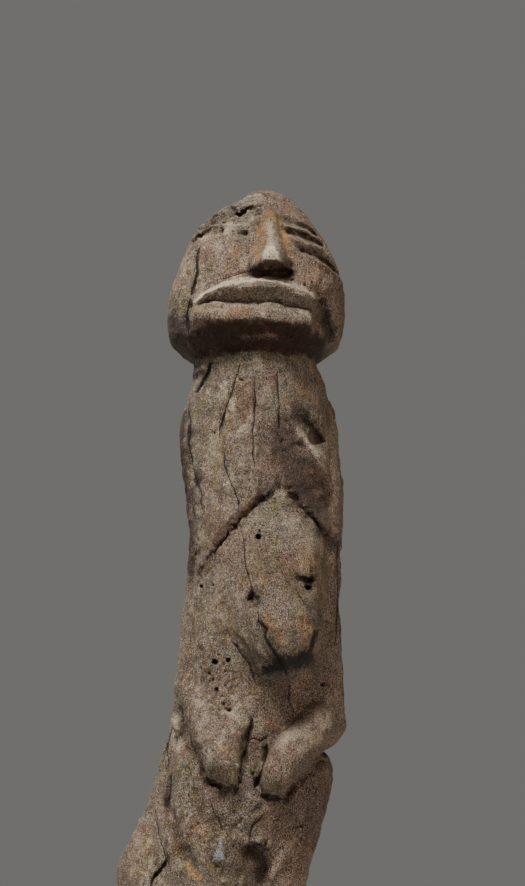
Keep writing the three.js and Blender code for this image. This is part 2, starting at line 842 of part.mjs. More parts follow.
function popEntry(heap) {
  const top = heap[0];
  const entry = heap.pop();
  if (heap.length > 0) {
    let i = 0;
    for (let child = 1; child < heap.length; child = 2 * i + 1) {
      if (child + 1 < heap.length && heap[child + 1].cost < heap[child].cost) {
        child += 1;
      }
      if (heap[child].cost >= entry.cost) {
        break;
      }
      heap[i] = heap[child];
      i = child;
    }
    heap[i] = entry;
  }
  return top;
}

// Closes up the edges that change the form least until few enough faces are left.
function thin(points, faces, wanted) {
  const forms = points.map(() => new Array(10).fill(0));
  const facesOf = points.map(() => new Set());
  faces.forEach((face, f) => {
    const form = planeForm(...face.map((v) => points[v]));
    for (const v of face) {
      facesOf[v].add(f);
      form.forEach((value, i) => {
        forms[v][i] += value;
      });
    }
  });
  const changes = new Array(points.length).fill(0);
  const heap = [];
  const offer = (a, b) => {
    const form = forms[a].map((v, i) => v + forms[b][i]);
    const middle = points[a].map((v, i) => (v + points[b][i]) / 2);
    let best = middle;
    for (const place of [points[a], points[b]]) {
      best = error(form, place) < error(form, best) ? place : best;
    }
    const gap = points[a].map((v, i) => v - points[b][i]);
    const cost = error(form, best) + LENGTH_COST * dot(gap, gap) ** 2;
    pushEntry(heap, { cost, a, b, place: best, stamp: changes[a] + changes[b] });
  };
  const neighbours = (v) => {
    const around = new Set();
    facesOf[v].forEach((f) => faces[f].forEach((n) => around.add(n)));
    around.delete(v);
    return around;
  };
  const staysOutward = (v, other, place) => {
    for (const f of facesOf[v]) {
      if (!faces[f].includes(other)) {
        const before = faces[f].map((n) => points[n]);
        const after = faces[f].map((n) => (n === v ? place : points[n]));
        const [m, n] = [cross(...before), cross(...after)];
        if (dot(m, n) < LEAST_TURN * Math.sqrt(dot(m, m) * dot(n, n)) || dot(n, n) < LEAST_AREA) {
          return false;
        }
      }
    }
    return true;
  };
  points.forEach((_, a) => neighbours(a).forEach((b) => a < b && offer(a, b)));
  let left = faces.length;
  while (left > wanted && heap.length > 0) {
    const { a, b, place, stamp } = popEntry(heap);
    if (!facesOf[a] || !facesOf[b] || stamp !== changes[a] + changes[b]) {
      continue;
    }
    const aroundB = neighbours(b);
    const shared = [...neighbours(a)].filter((v) => aroundB.has(v));
    if (shared.length !== 2 || !staysOutward(a, b, place) || !staysOutward(b, a, place)) {
      continue;
    }
    for (const f of facesOf[b]) {
      if (faces[f].includes(a)) {
        faces[f].forEach((v) => facesOf[v].delete(f));
        faces[f] = null;
        left -= 1;
      } else {
        faces[f] = faces[f].map((v) => (v === b ? a : v));
        facesOf[a].add(f);
      }
    }
    points[a] = place;
    forms[a] = forms[a].map((v, i) => v + forms[b][i]);
    facesOf[b] = null;
    changes[a] += 1;
    neighbours(a).forEach((v) => offer(a, v));
  }
  return faces.filter((face) => face !== null);
}

const [points, cells] = surfaceNet();
const faces = thin(points, cells, FACES);
const geometry = new THREE.BufferGeometry();
geometry.setAttribute("position", new THREE.Float32BufferAttribute(points.flat(), 3));
geometry.setIndex(faces.flat());
geometry.computeVertexNormals();

const wood = new THREE.MeshStandardMaterial({ color: 0x6b5848, roughness: 0.88, metalness: 0 });
const mesh = new THREE.Mesh(geometry, wood);
mesh.name = "figure";

const group = new THREE.Group();
group.add(mesh);

export default group;
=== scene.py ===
import itertools
import math

import bpy
import numpy as np
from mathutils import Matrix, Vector


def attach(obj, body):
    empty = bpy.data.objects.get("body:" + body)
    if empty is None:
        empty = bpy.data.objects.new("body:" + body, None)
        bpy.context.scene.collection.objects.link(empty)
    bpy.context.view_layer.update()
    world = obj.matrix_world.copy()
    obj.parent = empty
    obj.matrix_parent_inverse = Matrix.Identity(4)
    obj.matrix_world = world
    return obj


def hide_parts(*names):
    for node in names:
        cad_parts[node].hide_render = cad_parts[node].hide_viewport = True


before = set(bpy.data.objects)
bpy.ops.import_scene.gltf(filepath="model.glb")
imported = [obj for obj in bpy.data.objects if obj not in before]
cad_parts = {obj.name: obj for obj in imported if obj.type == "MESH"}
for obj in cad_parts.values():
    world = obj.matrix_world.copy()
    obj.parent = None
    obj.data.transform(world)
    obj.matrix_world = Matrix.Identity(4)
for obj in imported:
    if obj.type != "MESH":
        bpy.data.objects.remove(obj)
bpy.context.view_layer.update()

# The carved form, in millimetres: +Z up, the front faces -Y. Each table repeats the solid's own sizes.

MM = 0.001
BASE_TOP = 25
BASE_MIDDLE = (-1, -2)
BASE_RADII = (67, 61)
BASE_EDGE = 6

# Height, middle x, half width, middle y, half depth.
TRUNK = [
    (118, -9, 36, 2, 34), (150, -4, 43, 0, 39), (175, 3, 47, -2, 41), (200, 9, 47, -2, 42),
    (225, 13, 44, -2, 41), (250, 18, 44, -1, 42), (290, 20, 44, -1, 42), (330, 22, 43, 0, 41),
    (360, 23, 43, 0, 41), (390, 22, 44, 0, 42), (415, 20, 45, 0.5, 41.5), (432, 19.5, 43, -1, 41.5),
    (446, 19, 39.5, -2.5, 41), (458, 17, 37.5, -5, 39), (480, 17, 34, -5, 35),
]
HEAD = [
    (456, 17, 35, -5.5, 36.5), (460, 17, 37.5, -6, 38.5), (463, 17.2, 41, -6, 41),
    (467, 17.5, 46.5, -5, 44.5), (471, 17.6, 50.5, -3.5, 47.5), (478, 17.6, 53, -1.8, 49.8),
    (490, 18, 53.8, -2, 50.5), (502, 18.6, 52.8, -2, 50), (518, 18.9, 48.8, -1, 48.5),
    (534, 18.8, 42, 1.5, 45), (550, 19.6, 31.5, 4.5, 35.5), (558, 21, 23.5, 5.5, 28),
    (564, 22.5, 15.5, 5.5, 19), (569, 23.5, 4, 5, 5),
]
BELLY = [
    (261, 34, 4, -24, 12), (264.5, 33.5, 11, -24, 23), (269, 33, 16, -24, 31.5), (276, 32, 20, -24, 38.5),
    (286, 31, 24.5, -24, 41.8), (296, 29, 28.5, -24, 41.3), (310, 27, 31, -24, 38),
    (325, 27, 31.5, -24, 34), (340, 27.5, 31, -24, 29.5), (356, 28.5, 25, -24, 24),
    (376, 29, 12, -24, 17),
]
TRUNK_ROUNDNESS = 2.25
HEAD_ROUNDNESS = 2.35
BELLY_ROUNDNESS = 2.2
TRUNK_END_RADIUS = 10
HEAD_END_RADIUS = 3
BELLY_END_RADIUS = 4

# Limbs are tapered rods: x, y, z, radius.
ARM_LEFT = [
    (-13, 6, 425, 15), (-13.5, 6, 416, 15), (-13, 5, 404, 15), (-11.5, 2, 386, 14.5),
    (-8.5, -1, 360, 13.5), (-9.5, -3, 329, 14.2), (-11, -5, 302, 15), (-14, -9, 262, 15),
    (-15.5, -8, 242, 16.5),
]
FOREARM_LEFT = [(-14, -10, 262, 15), (-9, -23, 246, 17), (-3, -36, 229, 15.5), (-0.5, -41, 217.5, 13.5)]
ARM_RIGHT = [
    (50.5, -2, 426, 15.5), (52.5, -4, 414, 15.8), (53.5, -5, 402, 15), (56, -8, 385, 14),
    (56, -10, 360, 13.5), (55.5, -10, 331, 13), (55, -10, 300, 13.5), (54.5, -12, 262, 15),
    (53.5, -13, 242, 17.5),
]
FOREARM_RIGHT = [
    (53.5, -13, 242, 17.5), (50, -26, 239, 14.5), (38, -37, 224, 12.5), (29.5, -41, 210.5, 12),
]
FLANK_LEFT = [
    (-12, 12, 250, 18.5), (-14, 12, 234, 20), (-17, 12, 218, 21.5), (-19.5, 11, 203, 22),
    (-23.5, 10, 188, 23), (-27.5, 8, 173, 25.5), (-33, 6, 152, 29.5),
]
BUTTOCK_RIGHT = [(23, 18, 184, 27), (16, 17, 158, 27)]
PELVIS = [(6, -10, 204, 33), (8, -14, 176, 27), (7, -16, 152, 17)]
THIGH_LEFT = [(-33, 6, 152, 29.5), (-32, -8, 130, 26.5), (-31, -17, 104, 23.5)]
THIGH_RIGHT = [
    (36.5, -3, 211, 27), (31, -5, 186, 26), (27, -8, 170, 24.5), (22, -12, 146, 23.5), (24, -17, 104, 23),
]
CALF_LEFT = [(-31, -17, 104, 23.5), (-31, 4, 66, 21.5), (-30, 6, 30, 19)]
CALF_RIGHT = [(24, -17, 104, 23), (25, 4, 66, 21), (25, 6, 30, 18.5)]
LEG_WEB = [(-3, -8, 120, 16), (-3, 2, 60, 14), (-3, 3, 28, 14)]
FOOT_MIDDLES = [(-31, -14, 27), (26, -14, 27)]
FOOT_RADII = (18.5, 36, 15)

# The gap between the legs: height, middle x, half width.
SLOT = [
    (25, -3, 9.5), (50, -3, 9.5), (75, -3, 9), (100, -2.5, 7), (124, -1.5, 6), (136, -0.5, 4),
    (141, 0, 0.6),
]

# The carving on the front is drawn in the front view: x and z.
CHEST_LINE = [
    (-24, 318), (-6.5, 338), (0, 347), (4.6, 352.5), (11.8, 360), (20.9, 368), (26.4, 373), (31.5, 378),
    (36, 376.5), (43.7, 369), (50.1, 362), (57.7, 353), (65.4, 344), (74, 333),
]
CHEST_MIDDLE = 31.5
CHEST_LINE_DEPTH = 1.0
FLAP_HEIGHTS = (2.5, 2.4)
FLAP_FADES = (46, 26)
CHEST_SWELL = [(4, 440), (6, 405), (8, 368)]
CHEST_SWELL_WIDTH = 17
CHEST_SWELL_HEIGHT = 2.6
MOUTH_MIDDLE = 17.5
LIP_TOP = 499
LIP_DROPS = (10.2, 9.4)
LIP_REACHES = (36.7, 39)
LIP_SLIT = 485.4
LIP_SLIT_DROP = 3
LIP_CREST_AT = 0.62
UPPER_LIP_HEIGHTS = (0.8, 6)
LOWER_LIP_HEIGHTS = (4.4, 2.8)
LOWER_LIP_REACH = 16.5
NOSE_TOP = 546
NOSE_BASE = 505.8
NOSE_MIDDLE = (26, 1.8)
NOSE_HALF_LEFT = (4, 10)
NOSE_HALF_RIGHT = (3, 9.5)
NOSE_HEIGHTS = (2.5, 11)
NOSE_RIDGE_SHARPNESS = 1.32
NOSE_HOLLOW_DEPTH = 4.5
BROWS_RIGHT = [
    [(31.5, 540.5), (39, 539.8), (48, 538), (56, 533.5)],
    [(35.5, 532.6), (44, 531.2), (51.5, 528.5), (59, 525)],
    [(41, 521.8), (51, 519), (60, 515.5), (68, 510.5)],
]
BROW_LEFT = [(-25, 529), (-15, 532), (-7, 533), (1, 532.6)]
EYE_LEFT = (8.6, 529.4)
CROWN_CUT = (-0.38, 0.925, 513.6)
SHOULDER_HOLLOW = [(44, 425), (49.5, 414.5), (54.5, 404)]
SHOULDER_RIDGE = [(42.5, 412.5), (48.4, 404), (54, 397), (60, 388)]
LEAF_HOLLOW = [(37, 404), (45, 388), (51, 372)]
ARM_CREASE = [(-22.7, 431), (-20.5, 421), (-22.5, 409), (-18.5, 389), (-15.5, 378)]
HIP_GROOVE = [(-33, 231), (-33, 209), (-31, 190), (-24, 170), (-11, 148)]
BROW_CUT = (2.3, -3.4)
BROW_RIDGE = (1.9, 1.3)
BROW_RIDGE_DROP = 4.3
LEFT_HAND_END = [(-10.5, 208), (-5, 205.3), (0, 203.7), (8.5, 202.8)]
RIGHT_HAND_END = [(21, 199.8), (28, 197.3), (35, 197), (38.3, 204)]

# Strokes of the carving: a line, its half width and its height. A groove's height is negative.
CHEST_STROKES = [
    ([(30, 384), (30, 394), (33, 406), (34, 424)], 7, -2.6),
    (LEAF_HOLLOW, 8.5, -3.6), (SHOULDER_HOLLOW, 5.2, -5.5), (SHOULDER_RIDGE, 3.2, 3.4),
    ([(59, 402), (60, 385), (61, 366)], 3, -1.2), (ARM_CREASE, 2.2, -3),
]
HAND_STROKES = [
    ([(16, 243), (12.5, 227), (10.4, 217), (8.3, 203)], 2.2, -1.9),
    ([(24.4, 227), (23.3, 219), (20.1, 208.6), (18, 204)], 1.5, -1.2),
    ([(-26, 256), (-22.5, 234.6), (-13.2, 219), (-10, 208)], 3.4, -1.9),
    (HIP_GROOVE, 3.4, -4), ([(-22, 218), (-17.5, 198), (-13, 177)], 4, -2.2),
    ([(65, 350), (66, 329), (66, 305), (64, 280)], 1.8, -1.2),
    (LEFT_HAND_END, 1.6, -2.4), (RIGHT_HAND_END, 1.6, -2.6), ([(38, 204), (48, 212.5), (58, 221)], 3.2, -3),
]
BELLY_PIT = ([(13.5, 311.5), (20.5, 306.5)], 3.2, -4)
CROTCH_TOP = 173
THIGH_RIDGE = ([(41, 175), (32, 163), (23, 149)], 3.2, 2.6)
CHEEK_NOTCH = ([(53.5, 494), (57, 484), (60, 476), (62.5, 466)], 4.2, -5.5)
ROTTEN_HOLE = ([(7, 544.5), (10, 545.5), (13, 548.3), (18, 550.5)], 1.6, -5)
SPINE = ([(19, 440), (20, 380), (20, 300), (16, 225)], 6, -2.6)
SHOULDER_BLADES = (2, 38)

TABLE_STEP = 0.5
CREASE_WIDTH = 3.0
# Distances that count as far off: from a line, and from the surface.
FAR = 1e9
OUTSIDE = 9.0


def smooth_table(stations):
    """The stations on a smooth curve, read at close heights."""
    s = np.array(stations, float)
    z = np.arange(s[0, 0], s[-1, 0] + TABLE_STEP, TABLE_STEP)
    i = np.clip(np.searchsorted(s[:, 0], z, side="right") - 1, 0, len(s) - 2)
    before, after = np.maximum(i - 1, 0), np.minimum(i + 2, len(s) - 1)
    width = (s[i + 1, 0] - s[i, 0])[:, None]
    t = (z[:, None] - s[i, 0][:, None]) / width
    a, b = s[i, 1:], s[i + 1, 1:]
    start = (b - s[before, 1:]) / (s[i + 1, 0] - s[before, 0])[:, None]
    end = (s[after, 1:] - a) / (s[after, 0] - s[i, 0])[:, None]
    value = (2 * t**3 - 3 * t**2 + 1) * a + (3 * t**2 - 2 * t**3) * b
    value += ((t**3 - 2 * t**2 + t) * start + (t**3 - t**2) * end) * width
    return z, value


TABLES = {name: smooth_table(rows) for name, rows in
          (("trunk", TRUNK), ("head", HEAD), ("belly", BELLY), ("slot", SLOT))}


def smooth_min(a, b, softness):
    share = np.clip(0.5 + 0.5 * (b - a) / softness, 0, 1)
    return b + (a - b) * share - softness * share * (1 - share)


def smooth_max(a, b, softness):
    return -smooth_min(-a, -b, softness)


def join(a, b, softness, crease=0.0):
    """Joins two bodies softly and keeps a crease where they meet."""
    d = smooth_min(a, b, softness)
    return d + crease * np.exp(-(((a - b) / CREASE_WIDTH) ** 2)) if np.any(crease) else d


def step(v, low, high):
    t = np.clip((v - low) / (high - low), 0, 1)
    return t * t * (3 - 2 * t)


def bump(v, middle, width, power=2):
    return np.exp(-(np.abs((v - middle) / width) ** power))


def loft(x, y, z, name, roundness, end_radius):
    heights, rows = TABLES[name]
    mx, a, my, b = (np.interp(z, heights, rows[:, k]).astype(np.float32) for k in range(4))
    ring = (np.abs((x - mx) / a) ** roundness + np.abs((y - my) / b) ** roundness) ** (1 / roundness)
    side = (ring - 1) * np.minimum(a, b)
    return smooth_max(side, np.maximum(heights[0] - z, z - heights[-1]), end_radius)


def rods(x, y, z, rows):
    nearest = None
    for (ax, ay, az, ra), (bx, by, bz, rb) in zip(rows, rows[1:]):
        ux, uy, uz = bx - ax, by - ay, bz - az
        px, py, pz = x - ax, y - ay, z - az
        t = np.clip((px * ux + py * uy + pz * uz) / (ux * ux + uy * uy + uz * uz), 0, 1)
        gap = np.sqrt((px - t * ux) ** 2 + (py - t * uy) ** 2 + (pz - t * uz) ** 2)
        gap = gap - ra - t * (rb - ra)
        nearest = gap if nearest is None else np.minimum(nearest, gap)
    return nearest


def ellipsoid(x, y, z, middle, radii):
    dx, dy, dz = ((v - m) / r for v, m, r in zip((x, y, z), middle, radii))
    inner = np.sqrt(dx * dx + dy * dy + dz * dz)
    outer = np.sqrt((dx / radii[0]) ** 2 + (dy / radii[1]) ** 2 + (dz / radii[2]) ** 2)
    return inner * (inner - 1) / np.maximum(outer, 1e-6)


def line_gap(x, z, line, signed=False):
    """Distance in the front view to a broken line, and how far along it, from 0 to 1.

    A signed distance is above 0 on the line's left and below 0 on its right.
    """
    nearest = np.full(np.shape(x), FAR, np.float32)
    along = np.zeros(np.shape(x), np.float32)
    side = np.ones(np.shape(x), np.float32)
    count = len(line) - 1
    for i, ((ax, az), (bx, bz)) in enumerate(zip(line, line[1:])):
        ux, uz = bx - ax, bz - az
        t = np.clip(((x - ax) * ux + (z - az) * uz) / (ux * ux + uz * uz), 0, 1)
        gap = np.hypot(x - ax - t * ux, z - az - t * uz)
        closer = gap < nearest
        along = np.where(closer, (i + t) / count, along)
        if signed:
            side = np.where(closer, np.sign(ux * (z - az) - uz * (x - ax)), side)
        nearest = np.minimum(gap, nearest)
    return (nearest * side if signed else nearest), along


def stroke(x, z, line, width, height):
    """Height left by a stroke along a line in the front view, fading at its ends."""
    gap, along = line_gap(x, z, line)
    fade = np.minimum(1, 6 * np.minimum(along, 1 - along) + 0.25)
    return height * fade * bump(gap, 0, width)


def strokes(x, z, height, rows):
    for row in rows:
        height = height + stroke(x, z, *row)
    return height


def chest(x, z):
    above = 0.7 * (z - np.interp(x, *zip(*CHEST_LINE)))
    inside = step(x, -14, -3) * step(-x, -72, -60)
    right = step(x, CHEST_MIDDLE - 8, CHEST_MIDDLE + 6)
    rounded = step(above, -1.5, 4.5)
    left_flap, right_flap = (height * np.exp(-np.maximum(above, 0) / fade)
                             for height, fade in zip(FLAP_HEIGHTS, FLAP_FADES))
    flap = left_flap * (1 - right) + right_flap * right
    cut = CHEST_LINE_DEPTH * bump(above, -0.4, 1.5)
    height = (flap * rounded - cut) * inside
    height += CHEST_SWELL_HEIGHT * stroke(x, z, CHEST_SWELL, CHEST_SWELL_WIDTH, 1)
    return strokes(x, z, height, CHEST_STROKES) * step(z, 312, 325) * step(-z, -456, -444)


def nose(x, z):
    down = np.clip((NOSE_TOP - z) / (NOSE_TOP - NOSE_BASE), 0, 1)

    def growing(sizes):
        return sizes[0] + sizes[1] * down

    middle = growing(NOSE_MIDDLE)
    half = np.where(x < middle, growing(NOSE_HALF_LEFT), growing(NOSE_HALF_RIGHT))
    ridge = np.clip(NOSE_RIDGE_SHARPNESS * (1 - np.abs(x - middle) / half), 0, 1)
    ends = step(z, NOSE_BASE - 0.4, NOSE_BASE + 1.4) * step(-z, -552, -541)
    height = ridge * growing(NOSE_HEIGHTS) * ends
    height -= NOSE_HOLLOW_DEPTH * bump(x, 27.5, 12.5, 4) * bump(z, NOSE_BASE - 2.4, 2.8)
    return height - NOSE_HOLLOW_DEPTH * bump(x, 37, 3) * bump(z, 509, 4.5)


def mouth(x, z):
    left = x < MOUTH_MIDDLE
    out = np.abs(x - MOUTH_MIDDLE) / np.where(left, *LIP_REACHES)
    arch = LIP_TOP - np.where(left, *LIP_DROPS) * out**2
    slit = LIP_SLIT - LIP_SLIT_DROP * step(x, 12, 50)
    width = step(x, -20, -11) * step(-x, -61, -52)
    up = np.clip((z - slit) / (arch - slit), 0, 1)
    past_crest = up - LIP_CREST_AT
    crest = np.where(past_crest < 0, up / LIP_CREST_AT, 1 - 0.35 * past_crest / (1 - LIP_CREST_AT))
    upper = (UPPER_LIP_HEIGHTS[0] + UPPER_LIP_HEIGHTS[1] * crest)
    upper = upper * step(z - slit, -1, 1.8) * step(arch - z, -2, 2.6) * width
    down = np.clip((slit - z) / LOWER_LIP_REACH, 0, 1)
    lower = LOWER_LIP_HEIGHTS[0] + LOWER_LIP_HEIGHTS[1] * step(down, 0, 0.6)
    lower = lower * step(-down, -1, -0.64) * step(slit - z, -0.8, 1.8)
    lower = lower * (step(x, -24, -19) * step(-x, -55, -50))
    lobe = 1.6 * bump(x, 47, 5.5) * bump(z, 476.5, 4.5)
    return upper + lower + lobe - 0.3 * bump(z, slit, 1.0) * width


def brows_and_eyes(x, z):
    height = 0.0
    for line in BROWS_RIGHT:
        height = height + stroke(x, z, line, *BROW_CUT)
        height = height + stroke(x, z, [(a, b - BROW_RIDGE_DROP) for a, b in line], *BROW_RIDGE)
    height += stroke(x, z, BROW_LEFT, 2.6, -2.3)
    height += stroke(x, z, [(-25, 533.5), (-11, 536.5), (0, 536), (11, 534.5), (15, 532)], 2, 1.5)
    height -= 3.6 * bump(x, EYE_LEFT[0], 5.6, 4) * bump(z, EYE_LEFT[1], 2.6)
    return height + 1.2 * bump(x, 0, 3) * bump(z, 529.5, 2.5)


def face(x, z):
    return strokes(x, z, nose(x, z) + mouth(x, z) + brows_and_eyes(x, z), (CHEEK_NOTCH, ROTTEN_HOLE))


def hands_and_pits(x, z):
    height = strokes(x, z, 0.0, HAND_STROKES)
    height -= 4.5 * bump(x, 46.5, 5.4, 4) * bump(z, 322.3, 2.1, 4)
    height -= 2.6 * bump(x, 47.6, 3.6) * bump(z, 318, 4)
    height += stroke(x, z, *BELLY_PIT)
    below = CROTCH_TOP - z
    height -= 6 * bump(x, 18.5, 7, 4) * step(below, -0.5, 1.5) * np.exp(-np.maximum(below, 0) / 16)
    return height + stroke(x, z, *THIGH_RIDGE)


def back(x, z):
    return stroke(x, z, *SPINE) + 3 * bump(z, 404, 26) * sum(bump(x, at, 13) for at in SHOULDER_BLADES)


def hand_wobble(x, z):
    """Small unevenness of hand-cut lines in the front view."""
    across = 0.9 * np.sin(z / 5.1 + 0.9 * np.sin(x / 7.3)) + 0.35 * np.sin(z / 2.3 + x / 3.7)
    up = 0.8 * np.sin(x / 5.7 + 0.8 * np.sin(z / 8.1)) + 0.35 * np.sin(x / 2.9 - z / 4.1)
    return x + across, z + up


def trunk_and_limbs(x, y, z):
    d = loft(x, y, z, "trunk", TRUNK_ROUNDNESS, TRUNK_END_RADIUS)
    for rows, softness, crease in ((BUTTOCK_RIGHT, 9, 0.8), (PELVIS, 8, 0), (THIGH_RIGHT, 6, 1.2)):
        d = join(d, rods(x, y, z, rows), softness, crease)
    behind = step(y, 0, 25)
    left_side = smooth_min(rods(x, y, z, FLANK_LEFT), rods(x, y, z, THIGH_LEFT), 3)
    d = join(d, left_side, 4 + 10 * behind, 1.8 * (1 - behind))
    forearm_softness = 3 + 11 * step(x, -16, 4) * step(z, 214, 240)
    for rows, softness, crease in ((ARM_LEFT, 4, 1.2), (ARM_RIGHT, 4, 1.2),
                                   (FOREARM_LEFT, forearm_softness, 0), (FOREARM_RIGHT, 4, 1.6)):
        d = join(d, rods(x, y, z, rows), softness, crease)
    belly = loft(x, y, z, "belly", BELLY_ROUNDNESS, BELLY_END_RADIUS)
    return smooth_min(d, belly, 4 + 8 * step(-x, -24, 2))


def legs_and_feet(x, y, z, d):
    """Joins the calves and feet to the body, and cuts the gap between the legs."""
    legs = np.minimum(rods(x, y, z, CALF_LEFT), rods(x, y, z, CALF_RIGHT))
    d = join(d, smooth_min(legs, rods(x, y, z, LEG_WEB), 6), 4)
    feet = [ellipsoid(x, y, z, middle, FOOT_RADII) for middle in FOOT_MIDDLES]
    d = join(d, np.minimum(*feet), 4, 0.8)
    heights, rows = TABLES["slot"]
    middle, half_width = (np.interp(z, heights, rows[:, k]).astype(np.float32) for k in range(2))
    gap = np.maximum(np.abs(x - middle) - half_width, np.maximum(heights[0] - z, z - heights[-1]))
    return smooth_max(d, -gap, 5)


def field(x, y, z):
    """The form as a field: negative in the wood, roughly the distance in millimetres."""
    cut_x, cut_z = hand_wobble(x, z)
    d = trunk_and_limbs(x, y, z)
    d = d - step(-y, 2, 12) * (chest(cut_x, cut_z) + hands_and_pits(cut_x, cut_z))
    head = loft(x, y, z, "head", HEAD_ROUNDNESS, HEAD_END_RADIUS) - step(-y, 8, 18) * face(cut_x, cut_z)
    cut = CROWN_CUT[0] * x + CROWN_CUT[1] * z - CROWN_CUT[2] - 9 * step(x, 9, 24)
    d = join(d, smooth_max(head, cut, 2.5), 3, 1.2)
    d = d - step(y, 10, 22) * back(x, z)
    d = legs_and_feet(x, y, z, d)
    rim = np.hypot((x - BASE_MIDDLE[0]) / BASE_RADII[0], (y - BASE_MIDDLE[1]) / BASE_RADII[1])
    base = smooth_max((rim - 1) * BASE_RADII[1], np.maximum(z - BASE_TOP, -z), BASE_EDGE)
    return join(d, base, 3, 0.8)


# Meeting the surface on a grid of cells.

CORNERS = list(itertools.product((0, 1), repeat=3))
CELL = 0.75
GRID_LOW = (-80, -82, -4)
GRID_HIGH = (84, 72, 576)
BLOCK = 5
BLOCK_REACH = 1.1
BLOCK_MARGIN = 5
BATCH = 400000


def grid_values():
    counts = [int(math.ceil((b - a) / (CELL * BLOCK))) * BLOCK for a, b in zip(GRID_LOW, GRID_HIGH)]
    axes = [np.float32(a) + CELL * np.arange(n, dtype=np.float32) for a, n in zip(GRID_LOW, counts)]
    middles = np.meshgrid(*[axis[BLOCK // 2::BLOCK] for axis in axes], indexing="ij")
    coarse = field(*middles)
    values = np.where(coarse < 0, -OUTSIDE, OUTSIDE).astype(np.float32)
    near = np.abs(coarse) < CELL * BLOCK * BLOCK_REACH + BLOCK_MARGIN
    for axis in range(3):
        values = np.repeat(values, BLOCK, axis)
        near = np.repeat(near, BLOCK, axis)
    places = np.nonzero(near)
    for start in range(0, len(places[0]), BATCH):
        at = tuple(p[start:start + BATCH] for p in places)
        values[at] = field(*[axis[i] for axis, i in zip(axes, at)])
    return values


def surface_net():
    """One point in each cell that the surface crosses, and a quad on each crossed grid edge."""
    values = grid_values()
    inside = values < 0
    ends = (slice(None, -1), slice(1, None))
    held = sum(inside[ends[i], ends[j], ends[k]].astype(np.int8) for i, j, k in CORNERS)
    cell = np.nonzero((held > 0) & (held < 8))
    index = np.full(held.shape, -1, np.int32)
    index[cell] = np.arange(len(cell[0]))
    at = {c: values[cell[0] + c[0], cell[1] + c[1], cell[2] + c[2]] for c in CORNERS}
    total = np.zeros((len(cell[0]), 3), np.float32)
    crossings = np.zeros(len(cell[0]), np.float32)
    for a in CORNERS:
        for axis in range(3):
            if a[axis]:
                continue
            b = tuple(1 if k == axis else a[k] for k in range(3))
            crossed = (at[a] < 0) != (at[b] < 0)
            t = np.where(crossed, at[a] / np.where(crossed, at[a] - at[b], 1), 0)
            place = np.tile(np.array(a, np.float32), (len(t), 1))
            place[:, axis] += t
            total += place * crossed[:, None]
            crossings += crossed
    points = (total / crossings[:, None] + np.stack(cell, 1)) * CELL + np.array(GRID_LOW, np.float32)
    quads = []
    for axis in range(3):
        low = [slice(1, -1)] * 3
        low[axis] = slice(0, -1)
        high = list(low)
        high[axis] = slice(1, None)
        starts = inside[tuple(low)]
        edge = np.nonzero(starts != inside[tuple(high)])
        outward = starts[edge]
        base = [edge[k] + (0 if k == axis else 1) for k in range(3)]
        u, w = (axis + 1) % 3, (axis + 2) % 3
        ring = []
        for du, dw in ((0, 0), (-1, 0), (-1, -1), (0, -1)):
            corner = list(base)
            corner[u] = corner[u] + du
            corner[w] = corner[w] + dw
            ring.append(index[tuple(corner)])
        ring = np.stack(ring, 1)
        ring[~outward] = ring[~outward][:, ::-1]
        quads.append(ring)
    return points, np.concatenate(quads)


# Repeatable noise.

def lattice(i, j, k, seed):
    n = i.astype(np.uint32) * np.uint32(374761393) + j.astype(np.uint32) * np.uint32(668265263)
    n = n + k.astype(np.uint32) * np.uint32(2246822519) + np.uint32(seed * 3266489917 % 2**32)
    n = (n ^ (n >> np.uint32(13))) * np.uint32(1274126177)
    n = (n ^ (n >> np.uint32(16))) * np.uint32(2654435761)
    return ((n >> np.uint32(8)) & np.uint32(0xFFFF)).astype(np.float32) / 65535


def noise(p, size, seed):
    """Smooth noise from -1 to 1. Its features are about size millimetres, or one size per axis."""
    q = p / np.asarray(size, np.float32)
    cell = np.floor(q).astype(np.int64)
    f = q - cell
    f = f * f * f * (f * (f * 6 - 15) + 10)
    total = np.zeros(len(p), np.float32)
    for corner in CORNERS:
        a, b, c = (f[:, k] if far else 1 - f[:, k] for k, far in enumerate(corner))
        total += a * b * c * lattice(*(cell + corner).T, seed)
    return 2 * total - 1


def layered(p, size, seed, layers=3):
    total = np.zeros(len(p), np.float32)
    share = 1.0
    for n in range(layers):
        total += share * noise(p, np.asarray(size, np.float32) / 2**n, seed + n)
        share *= 0.55
    return total


def spots(p, spacing, seed):
    """Distance to the nearest of scattered points, in millimetres, and that point's own number."""
    q = p / spacing
    cell = np.floor(q).astype(np.int64)
    nearest = np.full(len(p), OUTSIDE, np.float32)
    number = np.zeros(len(p), np.float32)
    for shift in itertools.product((-1, 0, 1), repeat=3):
        c = (cell + shift).T
        gap = sum((c[a] + lattice(*c, seed + a) - q[:, a]) ** 2 for a in range(3))
        closer = gap < nearest
        number = np.where(closer, lattice(*c, seed + 7), number)
        nearest = np.minimum(gap, nearest)
    return np.sqrt(nearest) * spacing, number


# Damage and wear, laid on the carved form.

